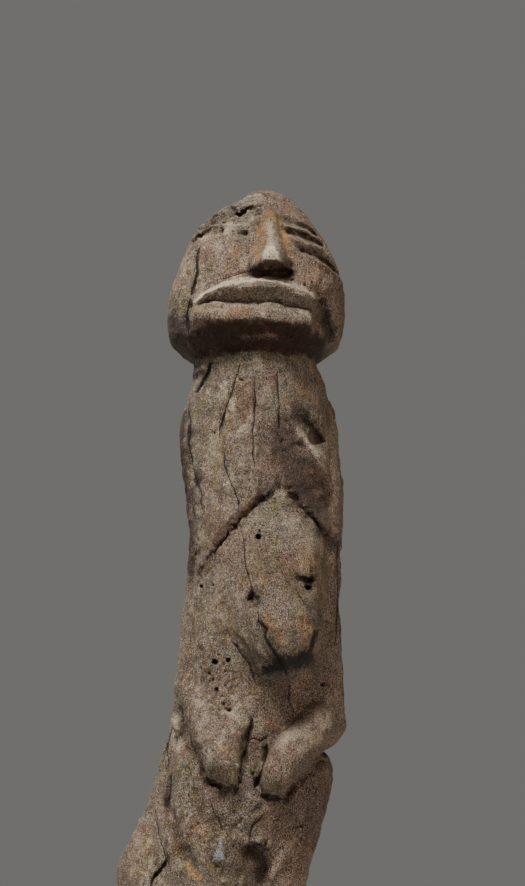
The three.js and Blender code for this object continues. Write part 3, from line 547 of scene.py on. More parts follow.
# Each crack: its half width and depth, then the x and z of each point of its line in the front view.
CRACKS = [
    (0.6, 3.2, -15.5, 525, -17.6, 518, -16.7, 508, -19.5, 499, -20.4, 491),
    (0.8, 3.6, -20.6, 491, -22.7, 483, -23.5, 477.5, -21.2, 469),
    (0.36, 1.3, 9.6, 453, 5.2, 438, 2.4, 429, -0.3, 421.7, -3, 413, -3.6, 405),
    (0.33, 1.2, -1.8, 402, 0.8, 386.6, 5.4, 375.2, 8.2, 367.7, 8, 359),
    (0.36, 1.4, 16.7, 443, 17.7, 428, 17.2, 418, 16.3, 408.6, 16.3, 399, 17.5, 387),
    (0.34, 1.2, 30, 447, 31, 435, 31.5, 425, 31.9, 418, 32.2, 409), (0.25, 0.6, 36, 442, 36.2, 432),
    (0.35, 1.3, 10.6, 349, 11.9, 334, 12.8, 326.6, 14.7, 320, 17, 310),
    (0.42, 1.8, 19, 306, 20.1, 296.3, 24.4, 291.8, 23.3, 287.7, 26.5, 281.2, 30.8, 276, 38, 263),
    (0.3, 1, 4, 288, 10, 279.5, 14.7, 273, 18.3, 262), (0.3, 1, 37.8, 264, 37, 255, 40.5, 245),
    (0.28, 1, 42, 314, 49, 303, 52.4, 295), (0.6, 2.6, -33, 163, -36.1, 158.6, -40.6, 152, -43.5, 146),
    (0.7, 2.4, -31.2, 213, -31.7, 202.4, -33.6, 192), (0.33, 1, -7.5, 196, -4, 187, 0.5, 178),
    (0.35, 1.2, 23, 189, 17, 183, 13.6, 173), (0.3, 0.8, -4, 499.6, 6, 502.2, 15, 504.5),
    (0.5, 2, 6, 548, 2, 556, 3, 563), (1.3, 3, -8.5, 455, -10.5, 448, -14.5, 441.5, -19, 436),
    (0.5, 1.8, -9.2, 540, -7.8, 549), (0.36, 1.2, 16.6, 244, 15.8, 240.6, 12.5, 226.7, 10.4, 217, 8, 202),
    (0.36, 1, 13.6, 230.6, 17, 231.4, 21.2, 229.9, 25.2, 232.6),
    (0.36, 1.2, 24.8, 229, 23.3, 219.3, 20.1, 208.6, 17.6, 203),
    (0.3, 0.9, -41.5, 193, -37.5, 176.6, -30, 156),
    (0.42, 0.8, -22.9, 433, -20.5, 421, -22.5, 409, -18.5, 389, -14.3, 375, -13.2, 360),
    (0.28, 0.6, -27.5, 405, -24.5, 385, -21, 362), (0.3, 0.9, -37, 240, -35, 229, -33.2, 215),
    (0.5, 0.3, 66.6, 352, 66.6, 329, 66.4, 305, 64, 282),
]
# Long drying checks on the hidden sides: angle round the middle in degrees, low and high ends, half width.
CHECKS = [
    (72, 250, 430, 0.8), (84, 330, 405, 0.5), (108, 160, 300, 0.8), (61, 365, 450, 0.5),
    (20, 300, 392, 0.5), (10, 480, 535, 0.6), (70, 468, 530, 0.7), (98, 475, 545, 0.6),
    (160, 310, 400, 0.6), (172, 200, 262, 0.6), (140, 480, 530, 0.5), (122, 380, 440, 0.5),
    (45, 60, 150, 0.6), (130, 70, 140, 0.6), (92, 180, 235, 0.5), (50, 470, 548, 0.4),
    (118, 465, 500, 0.5), (33, 170, 260, 0.5),
]
# Each insect hole: x, z, radius, depth.
HOLES = [
    (19.4, 347, 1.45, 5), (47.6, 317.6, 1.6, 6), (-14, 320.4, 0.95, 3), (-18, 341, 0.7, 2.5),
    (-6, 275.6, 1.5, 4), (1.8, 276, 0.9, 4), (-5, 260, 1, 3), (57, 263, 0.7, 3), (24, 560, 0.8, 3),
    (3, 248, 0.9, 2.5), (42, 181.5, 0.7, 3), (44.4, 181.7, 0.6, 3), (-7, 320, 0.5, 2),
    (39.5, 500, 0.8, 3), (47, 497, 0.7, 2), (50, 494, 0.6, 2), (7, 511.5, 0.7, 2),
    (-0.5, 251.3, 0.8, 2.5), (-9.4, 269, 0.7, 2), (-3.5, 279.5, 0.7, 2), (51, 499, 0.6, 2),
    (30, 500.5, 0.6, 2),
]


def vertex_normals(points, faces):
    a, b, c = (points[faces[:, k]] for k in range(3))
    normal = np.cross(b - a, c - a)
    if faces.shape[1] == 4:
        normal = np.cross(c - a, points[faces[:, 3]] - b)
    total = np.zeros_like(points)
    for k in range(faces.shape[1]):
        for axis in range(3):
            total[:, axis] += np.bincount(faces[:, k], normal[:, axis], len(points))
    return total / np.maximum(np.linalg.norm(total, axis=1, keepdims=True), 1e-9)


# Stains, wear, painted shade and painted highlights: for each measure, rows of a reach in millimetres and a
# strength, then the x and z of each point of a line in the front view.
STAINS_AND_PAINTED_LIGHT = {
    # Darker stains, and painted shade under the jaw, chin, nose, hands and belly, in the crotch, on the
    # chest's hollow leaf and along the left arm.
    "dark_stain_and_shade": [
        (24, 0.2, -10, 430, -2, 385, -6, 320, -6, 262), (12, 0.5, -22, 335, -14, 300, -12, 265),
        (8, 0.4, -16, 345, -4, 325, -2, 290), (11, 0.55, -14, 208, -4, 196, 10, 190, 12, 175),
        (8, 0.5, -6, 214, -12, 196), (9, 0.55, 34, 160, 46, 170), (9, 0.7, 18, 165, 22, 150, 22, 138),
        (12.5, 1, 33, 406, 41, 388, 49, 370), (8, 0.7, 24, 380, 30, 394), (4, 0.6, 31, 378, 21, 370),
        (3.4, 0.55, 22, 373, 8, 360, -5, 345), (3.4, 0.5, 38, 376, 50, 363, 64, 346),
        (10, 1, -32, 425, -31, 400, -27, 370, -25, 345), (5, 0.5, -23, 372, -19, 350, -17, 330),
        (14, 0.55, 12, 258, 28, 254, 44, 252, 56, 268), (3.5, 0.5, -10, 207, 0, 203, 9, 202),
        (3.5, 0.5, 21, 199, 36, 196), (6, 0.75, 39, 203, 50, 213, 61, 223),
        (6.5, 0.9, 13, 170, 20, 168, 22, 156, 24, 142), (4.5, 1, 43.5, 425, 47, 419),
        (5.6, 0.6, 48, 418, 50, 414, 53.5, 406), (5.5, 0.9, 57, 492, 60, 482, 63, 472),
        (3.6, 0.7, 14, 311, 20, 307), (3, 0.6, 15, 504, 28, 503.5, 39, 503), (3, 0.8, 37, 510, 39, 505),
        (4, 0.6, -33, 231, -32, 200, -24, 170), (2.6, 0.45, 33, 540, 42, 540, 54, 536),
        (2.2, 0.5, 37, 532, 56, 527), (3.2, 0.6, 43, 521, 56, 517, 66, 511),
        (4, 0.25, 28, 232, 14, 222, 16, 206), (10, 0.8, -24, 474, -26, 464), (13, 1, -34, 486, -29, 466),
        (16, 0.6, -20, 205, 0, 170, 2, 190), (2.6, 0.9, 67, 350, 67.5, 300, 65, 278),
        (4.5, 0.6, -26, 257, -22.5, 235, -13, 218, -9, 208), (10, 0.5, 40, 200, 30, 184, 26, 170),
        (6, 0.35, -22, 215, -17, 196, -12, 177), (13, 0.9, 50, 205, 52, 178, 44, 165),
        (7, 0.9, -15, 465, 16, 463, 54, 465), (5, 1, -20, 458, -17, 450), (12, 0.3, -20, 262, 2, 247),
        (8, 0.6, -16, 540, -4, 545), (11, 0.35, 45, 552, 58, 536),
    ],
    # Painted deep shade: under the chin, nose and hands, in the crotch, on the chest's hollow leaf, the
    # set-back left arm and the shaded right thigh.
    "deep_painted_shade": [
        (9.5, 0.62, 35, 404, 44, 387, 51, 371), (9, 0.8, -32, 425, -30, 395, -27, 362, -25, 335),
        (6, 0.9, -13, 468, -3, 467), (4.5, 0.6, 58, 488, 61, 474), (4, 0.5, 38, 376, 50, 363, 64, 346),
        (3.2, 0.6, 22, 373, 8, 360, -5, 345, -15, 331), (9, 0.85, -36, 478, -30, 466),
        (5, 0.7, -21, 456, -18, 450), (10, 0.3, -34, 480, -28, 466), (13, 0.4, 56, 200, 54, 175),
        (3, 0.7, 16, 505, 39, 505), (7, 1, -17, 463, 10, 461, 34, 461, 54, 464), (5, 1, -8, 470, 48, 468),
        (4.5, 0.8, 15, 168, 21, 164, 22, 155), (2.2, 0.8, 16, 503.5, 38, 503), (2.6, 0.7, 36, 196, 40, 203),
        (2, 0.6, 0, 203, 8, 202.5), (4, 0.2, 48, 416, 51, 411), (2.2, 0.4, 27, 372.5, 19, 366.5),
        (3.5, 0.6, 59, 478, 61, 472),
    ],
    # Reddening, which also paints shade on the right side and under the chin.
    "red": [
        (8, 0.5, 65, 400, 65, 330, 63, 285), (15, 0.85, 52, 205, 50, 175, 40, 158),
        (14, 0.6, 50, 508, 60, 490), (12, 0.6, 38, 558, 56, 536), (20, 0.22, -8, 515, -4, 502),
        (8, 0.4, 54, 452, 62, 438), (11, 0.65, 44, 262, 58, 248), (6, 0.8, 53, 473, 56, 462),
        (5, 0.45, 28, 400, 25, 412), (9, 0.5, 66, 500, 68, 480), (8, 0.4, 30, 190, 35, 180),
        (6, 0.5, 63, 404, 65, 372), (6, 0.35, 0, 505, 10, 508), (8, 0.7, 6, 466, 40, 466),
        (12, 0.45, 45, 552, 58, 536), (9, 0.4, 28, 250, 40, 246), (7, 0.5, 25, 164, 34, 180),
    ],
    "ochre": [
        (4.4, 1, 26, 541, 20, 526, 18, 515), (4, 0.6, 25, 513, 29, 508),
        (2.8, 1, 30.5, 542, 34, 528, 38, 511), (4, 0.45, 24, 300, 33, 286), (4.5, 0.6, 45, 300, 50, 284),
        (3.5, 0.45, 43, 437, 53, 431), (2.2, 1, -21.5, 161, -15, 153), (1.3, 1, -19.4, 484.5, -19.2, 479.5),
        (6, 0.22, -8, 413, -3, 400, -6, 392), (4, 0.25, -8, 345, -2, 341), (4, 0.3, 2, 480, 12, 481),
        (4, 0.25, -17, 302, -20, 285), (2.6, 0.4, 18, 369, 8, 358), (5, 0.25, 44, 338, 52, 330, 55, 310),
        (8, 0.25, 40, 502, 58, 497), (4, 0.35, -16, 186, -10, 176), (5, 0.3, -4, 308, 4, 296),
        (6, 0.3, 50, 168, 44, 155), (8, 0.25, -45, 175, -52, 160),
    ],
    # Pale patches, and painted highlights on lit crests: the nose tip, the upper lip's top edge, the brow
    # ridges, the shoulder ridge, the right forearm and the thigh ridge.
    "pale_patch_and_highlight": [
        (4.2, 1.7, 26.5, 513, 28.5, 508), (3, 0.85, 27, 534, 29, 518), (1.8, 0.5, -19, 441, -15, 447),
        (5, 0.5, 61, 250, 57, 241), (2, 0.9, 43, 411, 50, 403, 59, 390), (2.6, 0.5, 53, 402, 58, 398),
        (4, 0.7, -29.5, 243, -28.5, 228), (2, 0.9, 3.6, 429, 4, 423),
        (3.4, 0.55, 30, 229, 48, 239, 61, 253), (2, 0.7, 41, 175, 32, 163, 24, 151),
        (3, 0.5, 31, 373, 37, 371), (1.2, 0.6, 12, 172.6, 17, 174, 21, 175),
        (2.2, 1.9, -17, 488.5, -11, 491.5, -3, 495, 8, 497.8, 18, 498.6, 30, 498, 42, 495.6, 54, 491),
        (2.4, 0.25, -17, 481.5, 14, 481.8, 32, 480.2), (3, 0.5, 8, 247, 12, 240),
        (2.4, 0.5, 45, 480, 51, 477), (3.5, 0.45, 10, 409, 14, 411), (5, 0.3, -2, 325, -10, 300),
        (1.1, 0.6, 35, 536, 52, 534), (2, 0.6, -14, 530, -10, 531), (3, 0.3, 14, 252, 22, 238),
        (1.3, 0.6, 0, 537, 12, 535.5), (3, 0.35, -10, 300, -8, 285), (3, 0.5, 5, 246, 9, 250),
        (4, 0.4, 44, 225, 52, 232), (4, 0.35, -10, 405, -6, 395), (6, 0.3, 38, 358, 48, 345),
    ],
    "eaten": [
        (13, 1, -8, 282, -6, 268, 0, 250), (10, 0.7, -12, 232, -16, 245), (7, 0.5, -4, 510, 6, 512),
        (12, 0.6, -10, 185, 4, 178), (8, 0.5, 4, 300, 14, 312), (4, 0.8, 33, 419, 34, 405),
        (7, 0.8, 40, 500, 50, 494), (12, 0.8, -40, 165, -45, 150), (5, 0.8, 22, 222, 20, 212),
        (8, 0.6, 12, 170, 20, 160), (5, 0.8, -16, 536, 4, 530), (5, 1, 4, 543, 19, 552),
        (4, 0.9, -24, 531, -6, 534), (4, 0.6, 24, 382, 4, 356),
    ],
    # Near-black along the belly's lower end.
    "blackened": [
        (2.4, 0.8, 24, 269.5, 31, 271), (3.9, 1, 31, 272.5, 39, 273.5, 47, 277),
        (1.3, 1, 49, 279, 52.4, 291),
    ],
    "crumbs": [
        (2.6, 0.8, -19, 531, -15, 532, -7, 533, 1, 532.6), (2.6, 0.9, 7, 545, 18, 550),
        (4, 0.8, 26, 373, 6, 355, -12, 332), (4, 0.7, 38, 374, 56, 354),
        (2.6, 0.7, 10, 215, 9, 203, -8, 206), (2.4, 0.7, 21, 199, 36, 197), (2.4, 0.5, 5, 529.4, 13, 529),
        (1.8, 0.3, -12, 486, 54, 484), (5, 0.4, 48, 418, 54, 405), (3, 0.9, 12, 173, 24, 172),
        (6, 0.45, 58, 236, 64, 250), (10, 0.42, -12, 282, -6, 268, 0, 252),
        (9, 0.4, -8, 192, 8, 186, 20, 190), (8, 0.35, -46, 165, -38, 150),
        (6, 0.35, -14, 539, -5, 543, 4, 546),
    ],
    "rot": [(8, 1, -20, 540, -8, 546, 6, 548, 18, 551), (5, 0.6, 2, 537, 18, 537)],
    "break": [(2.6, 0.4, -22, 458, -21, 449)],
}
# The arched line under the chin where the painted shade stops: its heights, middle and reach.
CHIN_LINE = (458.3, 460.2)
CHIN_MIDDLE = (18, 462)
CHIN_REACH = 12
FLAKE = [(-1.3, 176.8), (-6.4, 161.8), (0.6, 162.8)]


def points_of(places):
    return list(zip(places[::2], places[1::2]))


def marks_cover(x, z, marks, edge):
    total = np.zeros(len(x), np.float32)
    for reach, strength, *places in marks:
        gap, _ = line_gap(x, z, points_of(places))
        total = np.maximum(total, strength * step(-gap + 0.5 * reach * edge, -1.35 * reach, -0.45 * reach))
    return total


def triangle_depth(x, z, corners):
    """How far inside a triangle in the front view a point lies, in millimetres; below 0 outside."""
    depth = np.full(len(x), OUTSIDE, np.float32)
    for (ax, az), (bx, bz) in zip(corners, corners[1:] + corners[:1]):
        ux, uz = bx - ax, bz - az
        depth = np.minimum(depth, (ux * (z - az) - uz * (x - ax)) / math.hypot(ux, uz))
    return depth


def regions(p, n):
    """How far each kind of stain, wear, painted shade or painted highlight covers each point, from 0 to 1.
    """
    x, y, z = p.T
    front = step(-n[:, 1], -0.5, -0.05) * step(-y, -26, -8)
    edge = 0.75 * layered(p, 7, 11) + 0.35 * noise(p, 1.6, 15)
    streaks = layered(p, (1.3, 1.3, 7), 13)
    r = {name: front * marks_cover(x, z, marks, streaks if name == "blackened" else edge)
         for name, marks in STAINS_AND_PAINTED_LIGHT.items()}

    def spread(name, amount):
        r[name] = np.maximum(r[name], amount)

    # Painted shade on surfaces that face down, and the arched line under the chin where painted shade and
    # reddening stop, so the neck below is not darkened.
    painted_underside_shade = front * step(-n[:, 2], 0.5, 0.9) * step(z, 240, 262)
    spread("dark_stain_and_shade", 0.75 * painted_underside_shade)
    spread("deep_painted_shade", 0.85 * painted_underside_shade * bump(z, 507, 9, 4))
    r["blackened"] = np.clip(1.8 * r["blackened"], 0, 1)
    arch = 1.5 + 0.0048 * (x - CHIN_MIDDLE[0]) ** 2 + 0.9 * edge
    under_chin = step(z + arch, *CHIN_LINE)
    for name in ("deep_painted_shade", "dark_stain_and_shade", "red"):
        r[name] *= np.where(np.abs(z - CHIN_MIDDLE[1]) < CHIN_REACH, under_chin, 1)
    r["flake"] = front * step(triangle_depth(x + 0.4 * edge, z + 0.5 * edge, FLAKE), -0.4, 0.5)
    # Mottling of the front, then reddening with painted shade on the right side, the weathering of the
    # back, and the foot darker towards the bottom.
    spread("dark_stain_and_shade", 0.42 * step(layered(p, (9, 9, 15), 17), 0.15, 0.9))
    spread("pale_patch_and_highlight", 0.42 * step(layered(p, (5, 5, 10), 27), 0.35, 1.0) * step(-x, -50, -20))
    behind = step(y, -22, 22)
    running = layered(p, (16, 16, 70), 16)
    spread("red", 0.6 * step(x + 14 * edge, 46, 74) * step(z, 60, 130) * (1 - 0.5 * behind))
    spread("red", 0.6 * behind * step(layered(p, 30, 19), -0.1, 0.8))
    spread("dark_stain_and_shade", 0.7 * behind * step(running + 0.3 * edge, -0.1, 0.8))
    spread("dark_stain_and_shade", 0.8 * step(-z, -150, -60) * step(edge + 0.6 * running, -0.3, 0.9))
    spread("ochre", 0.4 * behind * step(layered(p, (14, 14, 40), 18), 0.35, 1.0))
    spread("rot", 0.8 * behind * step(layered(p, 33, 26), 0.55, 0.95) * step(z, 440, 480))
    # The pale side is the lit left side: its flecks and dust specks are partly dust, partly painted
    # highlight.
    r["pale"] = step(-x + 10 * edge, -34, 10) * step(-y, -30, 10)
    return r


CRACK_REACH = 2.2
CHECK_RADIUS = 42
CHECK_DEPTH = 2.6
STRAY_HOLE_SPACING = 17
STRAY_HOLE_RADIUS = 0.8
STRAY_HOLE_DEPTH = 2.4


def damage(p, n):
    """Depth of the cracks, checks and holes at each point, and where their sharp edges run.

    The crack measure is 0 on a crack's middle and 1 or -1 at its sides. The bore measure is
    below 0 in a hole.
    """
    x, y, z = p.T
    front = step(-n[:, 1], -0.1, 0.3)
    shift = 0.55 * noise(p, 5, 91) + 0.25 * noise(p, 1.8, 92)
    swell = 1 + 0.45 * noise(p, 7, 93)
    depth = np.zeros(len(p), np.float32)
    nearest = np.full(len(p), CRACK_REACH, np.float32)
    side = np.full(len(p), OUTSIDE, np.float32)
    open_here = np.zeros(len(p), np.float32)

    def add(gap, width, most, fade):
        nonlocal depth, nearest, side, open_here
        depth = np.maximum(depth, most * bump(gap, 0, (width + 0.3) * swell) * fade)
        closer = (np.abs(gap) < nearest) & (fade > 0)
        side = np.where(closer, gap / width, side)
        open_here = np.where(closer, fade * step(-np.abs(gap), -CRACK_REACH, -1.3), open_here)
        nearest = np.where(closer, np.abs(gap), nearest)

    for width, most, *places in CRACKS:
        gap, along = line_gap(x + shift, z, points_of(places), signed=True)
        add(gap, width, most, np.clip(6 * np.minimum(along, 1 - along), 0, 1) * front)
    middle_x = np.interp(z, [row[0] for row in TRUNK], [row[1] for row in TRUNK])
    around = np.arctan2(y, x - middle_x)
    for angle, low, high, width in CHECKS:
        away = np.angle(np.exp(1j * (around - math.radians(angle)))).astype(np.float32)
        ends = step(z + 9 * shift, low, low + 25) * step(-z + 9 * shift, -high, -high + 25)
        gap = away * CHECK_RADIUS + 2.2 * noise(p, 30, 95) + shift
        add(gap, width, CHECK_DEPTH, ends * (np.abs(away) < 0.5))
    bore = np.full(len(p), 2.0, np.float32)
    for hole_x, hole_z, radius, most in HOLES:
        gap = np.hypot(x - hole_x, z - hole_z) - radius
        depth = np.maximum(depth, most * step(-gap, -0.4, 0.5) * front)
        bore = np.where(front > 0.1, np.minimum(bore, gap), bore)
    gap, number = spots(p, STRAY_HOLE_SPACING, 63)
    gap = np.where(number > 0.57, gap - STRAY_HOLE_RADIUS, 2)
    depth = np.maximum(depth, STRAY_HOLE_DEPTH * step(-gap, -0.4, 0.5))
    return depth, np.clip(side, -OUTSIDE, OUTSIDE), open_here, np.clip(np.minimum(bore, gap), -2, 2)


# Unevenness all over: height, size of its features or one size per axis, seed and layers.
UNEVENNESS = [(0.8, 26, 21, 3), (0.52, 8, 31, 3), (0.28, (2.4, 2.4, 34), 41, 2), (0.26, 2.4, 51, 1)]
PIT_DEPTH = 0.9
EATEN_DEPTH = 0.7
ROT_HEIGHTS = (1.6, -1.4)
BREAK_DEPTH = 1.6
CRUMB_HEIGHT = 1.7


def relief(p, n):
    """How far each point of the carved form moves along its normal, in millimetres."""
    x, y, z = p.T
    r = regions(p, n)
    h = np.zeros(len(p), np.float32)
    for height, size, seed, layers in UNEVENNESS:
        h += height * layered(p, size, seed, layers)
    h += 0.5 * step(y, -5, 25) * layered(p, (5, 5, 60), 45)
    gap, number = spots(p, 6.0, 61)
    pitted = step(number, 0.45, 0.9) * step(layered(p, 30, 71), -0.5, 0.5)
    h -= PIT_DEPTH * pitted * bump(gap, 0, 1.1)
    gap, number = spots(p, 3.2, 62)
    eaten = np.maximum(step(layered(p, 22, 73), 0.0, 0.7), np.maximum(r["eaten"], 0.9 * r["rot"]))
    eaten = eaten * step(number, 0.4, 0.7)
    h -= (EATEN_DEPTH + 0.9 * r["eaten"]) * eaten * bump(gap, 0, 0.9)
    h += (ROT_HEIGHTS[0] * layered(p, 4.0, 81) + ROT_HEIGHTS[1]) * (r["rot"] + r["break"])
    h -= BREAK_DEPTH * r["break"]
    h += CRUMB_HEIGHT * r["crumbs"] * step(noise(p, (2.2, 2.2, 2.8), 85), -0.05, 0.5)
    h += 0.5 * r["crumbs"] * layered(p, 3.2, 87)
    h += 0.9 * r["flake"] - 0.3 * layered(p, 3.4, 83) * r["blackened"]
    return (h - damage(p, n)[0]) * step(z, 0.5, 4)


MOST_TRIANGLES = 196000
FRONT_SHARE = 0.38
SHARE_LEVELS = 7


def figure_mesh():
    points, quads = surface_net()
    normals = vertex_normals(points, quads)
    points = points + normals * relief(points, normals)[:, None]
    mesh = bpy.data.meshes.new("figure_carving")
    mesh.vertices.add(len(points))
    mesh.vertices.foreach_set("co", (points * MM).ravel())
    mesh.loops.add(quads.size)
    mesh.loops.foreach_set("vertex_index", quads.ravel().astype(np.int32))
    mesh.polygons.add(len(quads))
    mesh.polygons.foreach_set("loop_start", np.arange(0, quads.size, 4, dtype=np.int32))
    mesh.update(calc_edges=True)
    mesh.validate()
    piece = bpy.data.objects.new("figure_carving", mesh)
    bpy.context.collection.objects.link(piece)
    hidden = 1 - step(-normals[:, 1], -0.9, 0.3) * step(points[:, 2], 80, 160)
    plain = piece.vertex_groups.new(name="plain")
    level = np.round(hidden * SHARE_LEVELS).astype(int)
    for k in range(SHARE_LEVELS + 1):
        share = FRONT_SHARE + (1 - FRONT_SHARE) * k / SHARE_LEVELS
        plain.add(np.nonzero(level == k)[0].tolist(), share, "REPLACE")
    thin = piece.modifiers.new("thin", "DECIMATE")
    thin.ratio = min(1, MOST_TRIANGLES / (2 * len(quads)))
    thin.vertex_group = "plain"
    ready = bpy.context.evaluated_depsgraph_get()
    result = bpy.data.meshes.new_from_object(piece.evaluated_get(ready), depsgraph=ready)
    piece.modifiers.clear()
    piece.vertex_groups.clear()
    piece.data = result
    bpy.data.meshes.remove(mesh)
    result.name = "figure_carving"
    return piece


def read(items, name, width, kind):
    values = np.empty(len(items) * width, kind)
    items.foreach_get(name, values)
    return values.reshape(-1, width)


# The bend of the surface, for wear on edges and painted shade in creases, and how enclosed it is, for
# painted shade;
# and how far the lips and neck stay free of both.
BEND_GAIN = 1.3
LIPS_FREE = (0.38, 0.55)
NECK_FREE = 0.8
BEND_ROUNDS = 2
SHUT_REACHES = (2.5, 6.0, 12.0)


def paint(piece):
    """Per-point measures of the surface, which the wood's material reads."""
    mesh = piece.data
    count = len(mesh.vertices)
    p = read(mesh.vertices, "co", 3, np.float32) / MM
    n = read(mesh.vertices, "normal", 3, np.float32)
    a, b = read(mesh.edges, "vertices", 2, np.int32).T
    degree = np.bincount(a, minlength=count) + np.bincount(b, minlength=count)

    def around(v):
        return (np.bincount(a, v[b], count) + np.bincount(b, v[a], count)) / np.maximum(degree, 1)

    mean = np.stack([around(p[:, k]) for k in range(3)], 1)
    length = ((p[a] - p[b]) ** 2).sum(1)
    length = (np.bincount(a, length, count) + np.bincount(b, length, count)) / np.maximum(degree, 1)
    bend = ((mean - p) * n).sum(1) / np.maximum(length, 0.05)
    for _ in range(BEND_ROUNDS):
        bend = 0.5 * bend + 0.5 * around(bend)
    shut = np.zeros(count, np.float32)
    # How enclosed each point is, read from the form's field: it paints shade.
    for reach in SHUT_REACHES:
        shut += np.clip(1 - field(*(p + n * reach).T) / reach, 0, 1) / len(SHUT_REACHES)
    masks = regions(p, n)
    del masks["crumbs"], masks["eaten"]
    _, masks["crack_side"], masks["crack_open"], masks["bore"] = damage(p, n)
    masks["bend"] = np.clip(0.5 + bend * BEND_GAIN, 0, 1)
    neck = bump(p[:, 2], 450, 8, 4) * step(-p[:, 1], 5, 20)
    lips = bump(p[:, 2], 485, 6, 4) * step(-p[:, 1], 5, 20)
    masks["bend"] = np.minimum(masks["bend"], 1 - LIPS_FREE[0] * lips)
    masks["shut"] = np.clip(shut, 0, 1) * (1 - NECK_FREE * neck) * (1 - LIPS_FREE[1] * lips)
    for name, value in masks.items():
        layer = mesh.attributes.new(name, "FLOAT", "POINT")
        layer.data.foreach_set("value", np.ascontiguousarray(value, np.float32))


# The wood's material.

class Nodes:
    """Short names for building a material's nodes."""

    def __init__(self, material):
        material.use_nodes = True
        self.tree = material.node_tree
        self.tree.nodes.clear()

    def add(self, kind, inputs=(), **settings):
        """A new node with its settings, and with each input linked or given its value."""
        node = self.tree.nodes.new(kind)
        for key, value in settings.items():
            setattr(node, key, value)
        for key, value in dict(inputs).items():
            if isinstance(value, bpy.types.NodeSocket):
                self.tree.links.new(value, node.inputs[key])
            else:
                node.inputs[key].default_value = value
        return node

    def measure(self, name):
        return self.add("ShaderNodeAttribute", attribute_name=name).outputs["Fac"]

    def math(self, operation, a, b=0.0, clamp=False):
        return self.add("ShaderNodeMath", {0: a, 1: b}, operation=operation, use_clamp=clamp).outputs[0]

    def times(self, a, b):
        return self.math("MULTIPLY", a, b)

    def left_of_one(self, a):
        return self.math("SUBTRACT", 1.0, a, True)

    def weighted(self, patterns, shares):
        total = 0.0
        for name, share in shares.items():
            total = self.math("ADD", self.times(patterns[name], share), total)
        return total

    def noise(self, place, scale, detail, roughness):
        inputs = {"Vector": place, "Scale": scale, "Detail": detail, "Roughness": roughness}
        return self.add("ShaderNodeTexNoise", inputs).outputs["Fac"]

    def span(self, value, low, high, to_low=0.0, to_high=1.0):
        inputs = {"Value": value, "From Min": low, "From Max": high, "To Min": to_low, "To Max": to_high}
        return self.add("ShaderNodeMapRange", inputs, interpolation_type="SMOOTHSTEP").outputs[0]

    def mix(self, factor, a, b, blend="MIX"):
        a, b = (v if isinstance(v, bpy.types.NodeSocket) else (*v, 1) for v in (a, b))
        node = self.add("ShaderNodeMix", data_type="RGBA", blend_type=blend, inputs={0: factor, 6: a, 7: b})
        return node.outputs[2]

    def tint(self, factor, colour, tint):
        return self.mix(factor, colour, tint, "MULTIPLY")

    def surface(self, inputs):
        shader = self.add("ShaderNodeBsdfPrincipled", inputs)
        self.add("ShaderNodeOutputMaterial", {"Surface": shader.outputs[0]})


WOOD_DARK = (0.062, 0.040, 0.024)
WOOD_MID = (0.200, 0.148, 0.108)
WOOD_PALE = (0.530, 0.448, 0.366)
# Colour of the painted glints on glossy places.
WARM_GLINT = (0.78, 0.57, 0.43)
GOLD_DUST = (0.80, 0.64, 0.36)
DUST = (0.76, 0.68, 0.59)
OLIVE_TINT = (0.80, 0.88, 0.78)
ROSE_TINT = (1.0, 0.82, 0.78)
STRAW_TINT = (1.0, 0.88, 0.58)
CREAM = (0.86, 0.73, 0.56)
GREY = (0.12, 0.105, 0.088)
NEAR_BLACK = (0.008, 0.007, 0.010)
OCHRE = (0.68, 0.39, 0.12)
OCHRE_DEEP = (0.30, 0.13, 0.04)
RED_TINT = (0.76, 0.44, 0.30)
DARK_TINT = (0.34, 0.29, 0.26)
# Colour of the painted deep shade.
DEEP_SHADE_TINT = (0.30, 0.165, 0.105)
PIT_TINT = (0.44, 0.33, 0.24)
# Colour of the painted shade in creases and enclosed places.
CREASE_SHADE_TINT = (0.24, 0.17, 0.13)
BLUE_WHITE = (0.52, 0.54, 0.59)
# Colour of the painted shade inside cracks and holes.
HOLLOW_SHADE = (0.010, 0.006, 0.005)

# How far the patterns are stretched upward: the share of their scale that is left.
STRETCHES = {"threads": 0.4, "along": 0.12}
# Patterns in the wood: whether they are stretched, and their scale, detail and roughness.
PATTERNS = {
    "broad": ("place", 30, 3, 0.6), "cool": ("place", 45, 2, 0.6), "patchy": ("place", 85, 2, 0.7),
    "blotch": ("place", 110, 3, 0.65), "warm": ("place", 130, 2, 0.6), "clot": ("place", 360, 2, 0.7),
    "speck": ("place", 1350, 2, 0.7), "point": ("place", 2300, 1, 0.6), "thread": ("threads", 1650, 1, 0.6),
    "grain": ("along", 520, 3, 0.6), "streak": ("along", 240, 3, 0.6),
}
FINE_SHARES = {"point": 0.8, "thread": 0.2}
TONE_SHARES = {"fine": 0.50, "speck": 0.12, "clot": 0.08, "grain": 0.10, "streak": 0.10, "blotch": 0.10}
SHARP_SHARES = {"fine": 0.75, "speck": 0.25}
HEIGHT_SHARES = {"fine": 0.50, "speck": 0.50, "clot": 0.85, "grain": 0.38, "streak": 0.36}
BUMP_DISTANCE = 0.0024
SPECULAR = 0.4
GLOSS_OF_DARK = 0.22
GLOSS_SMOOTHS = 0.32
# How much of the painted glints falls outside the glossy places.
PAINTED_GLINTS_EVERYWHERE = 0.08
# Strengths on the pale, lit left side and everywhere: the flecks and dust specks there are partly dust,
# partly painted highlight.
FLECKS = (0.5, 0.12)
WHITES = (0.6, 0.15)

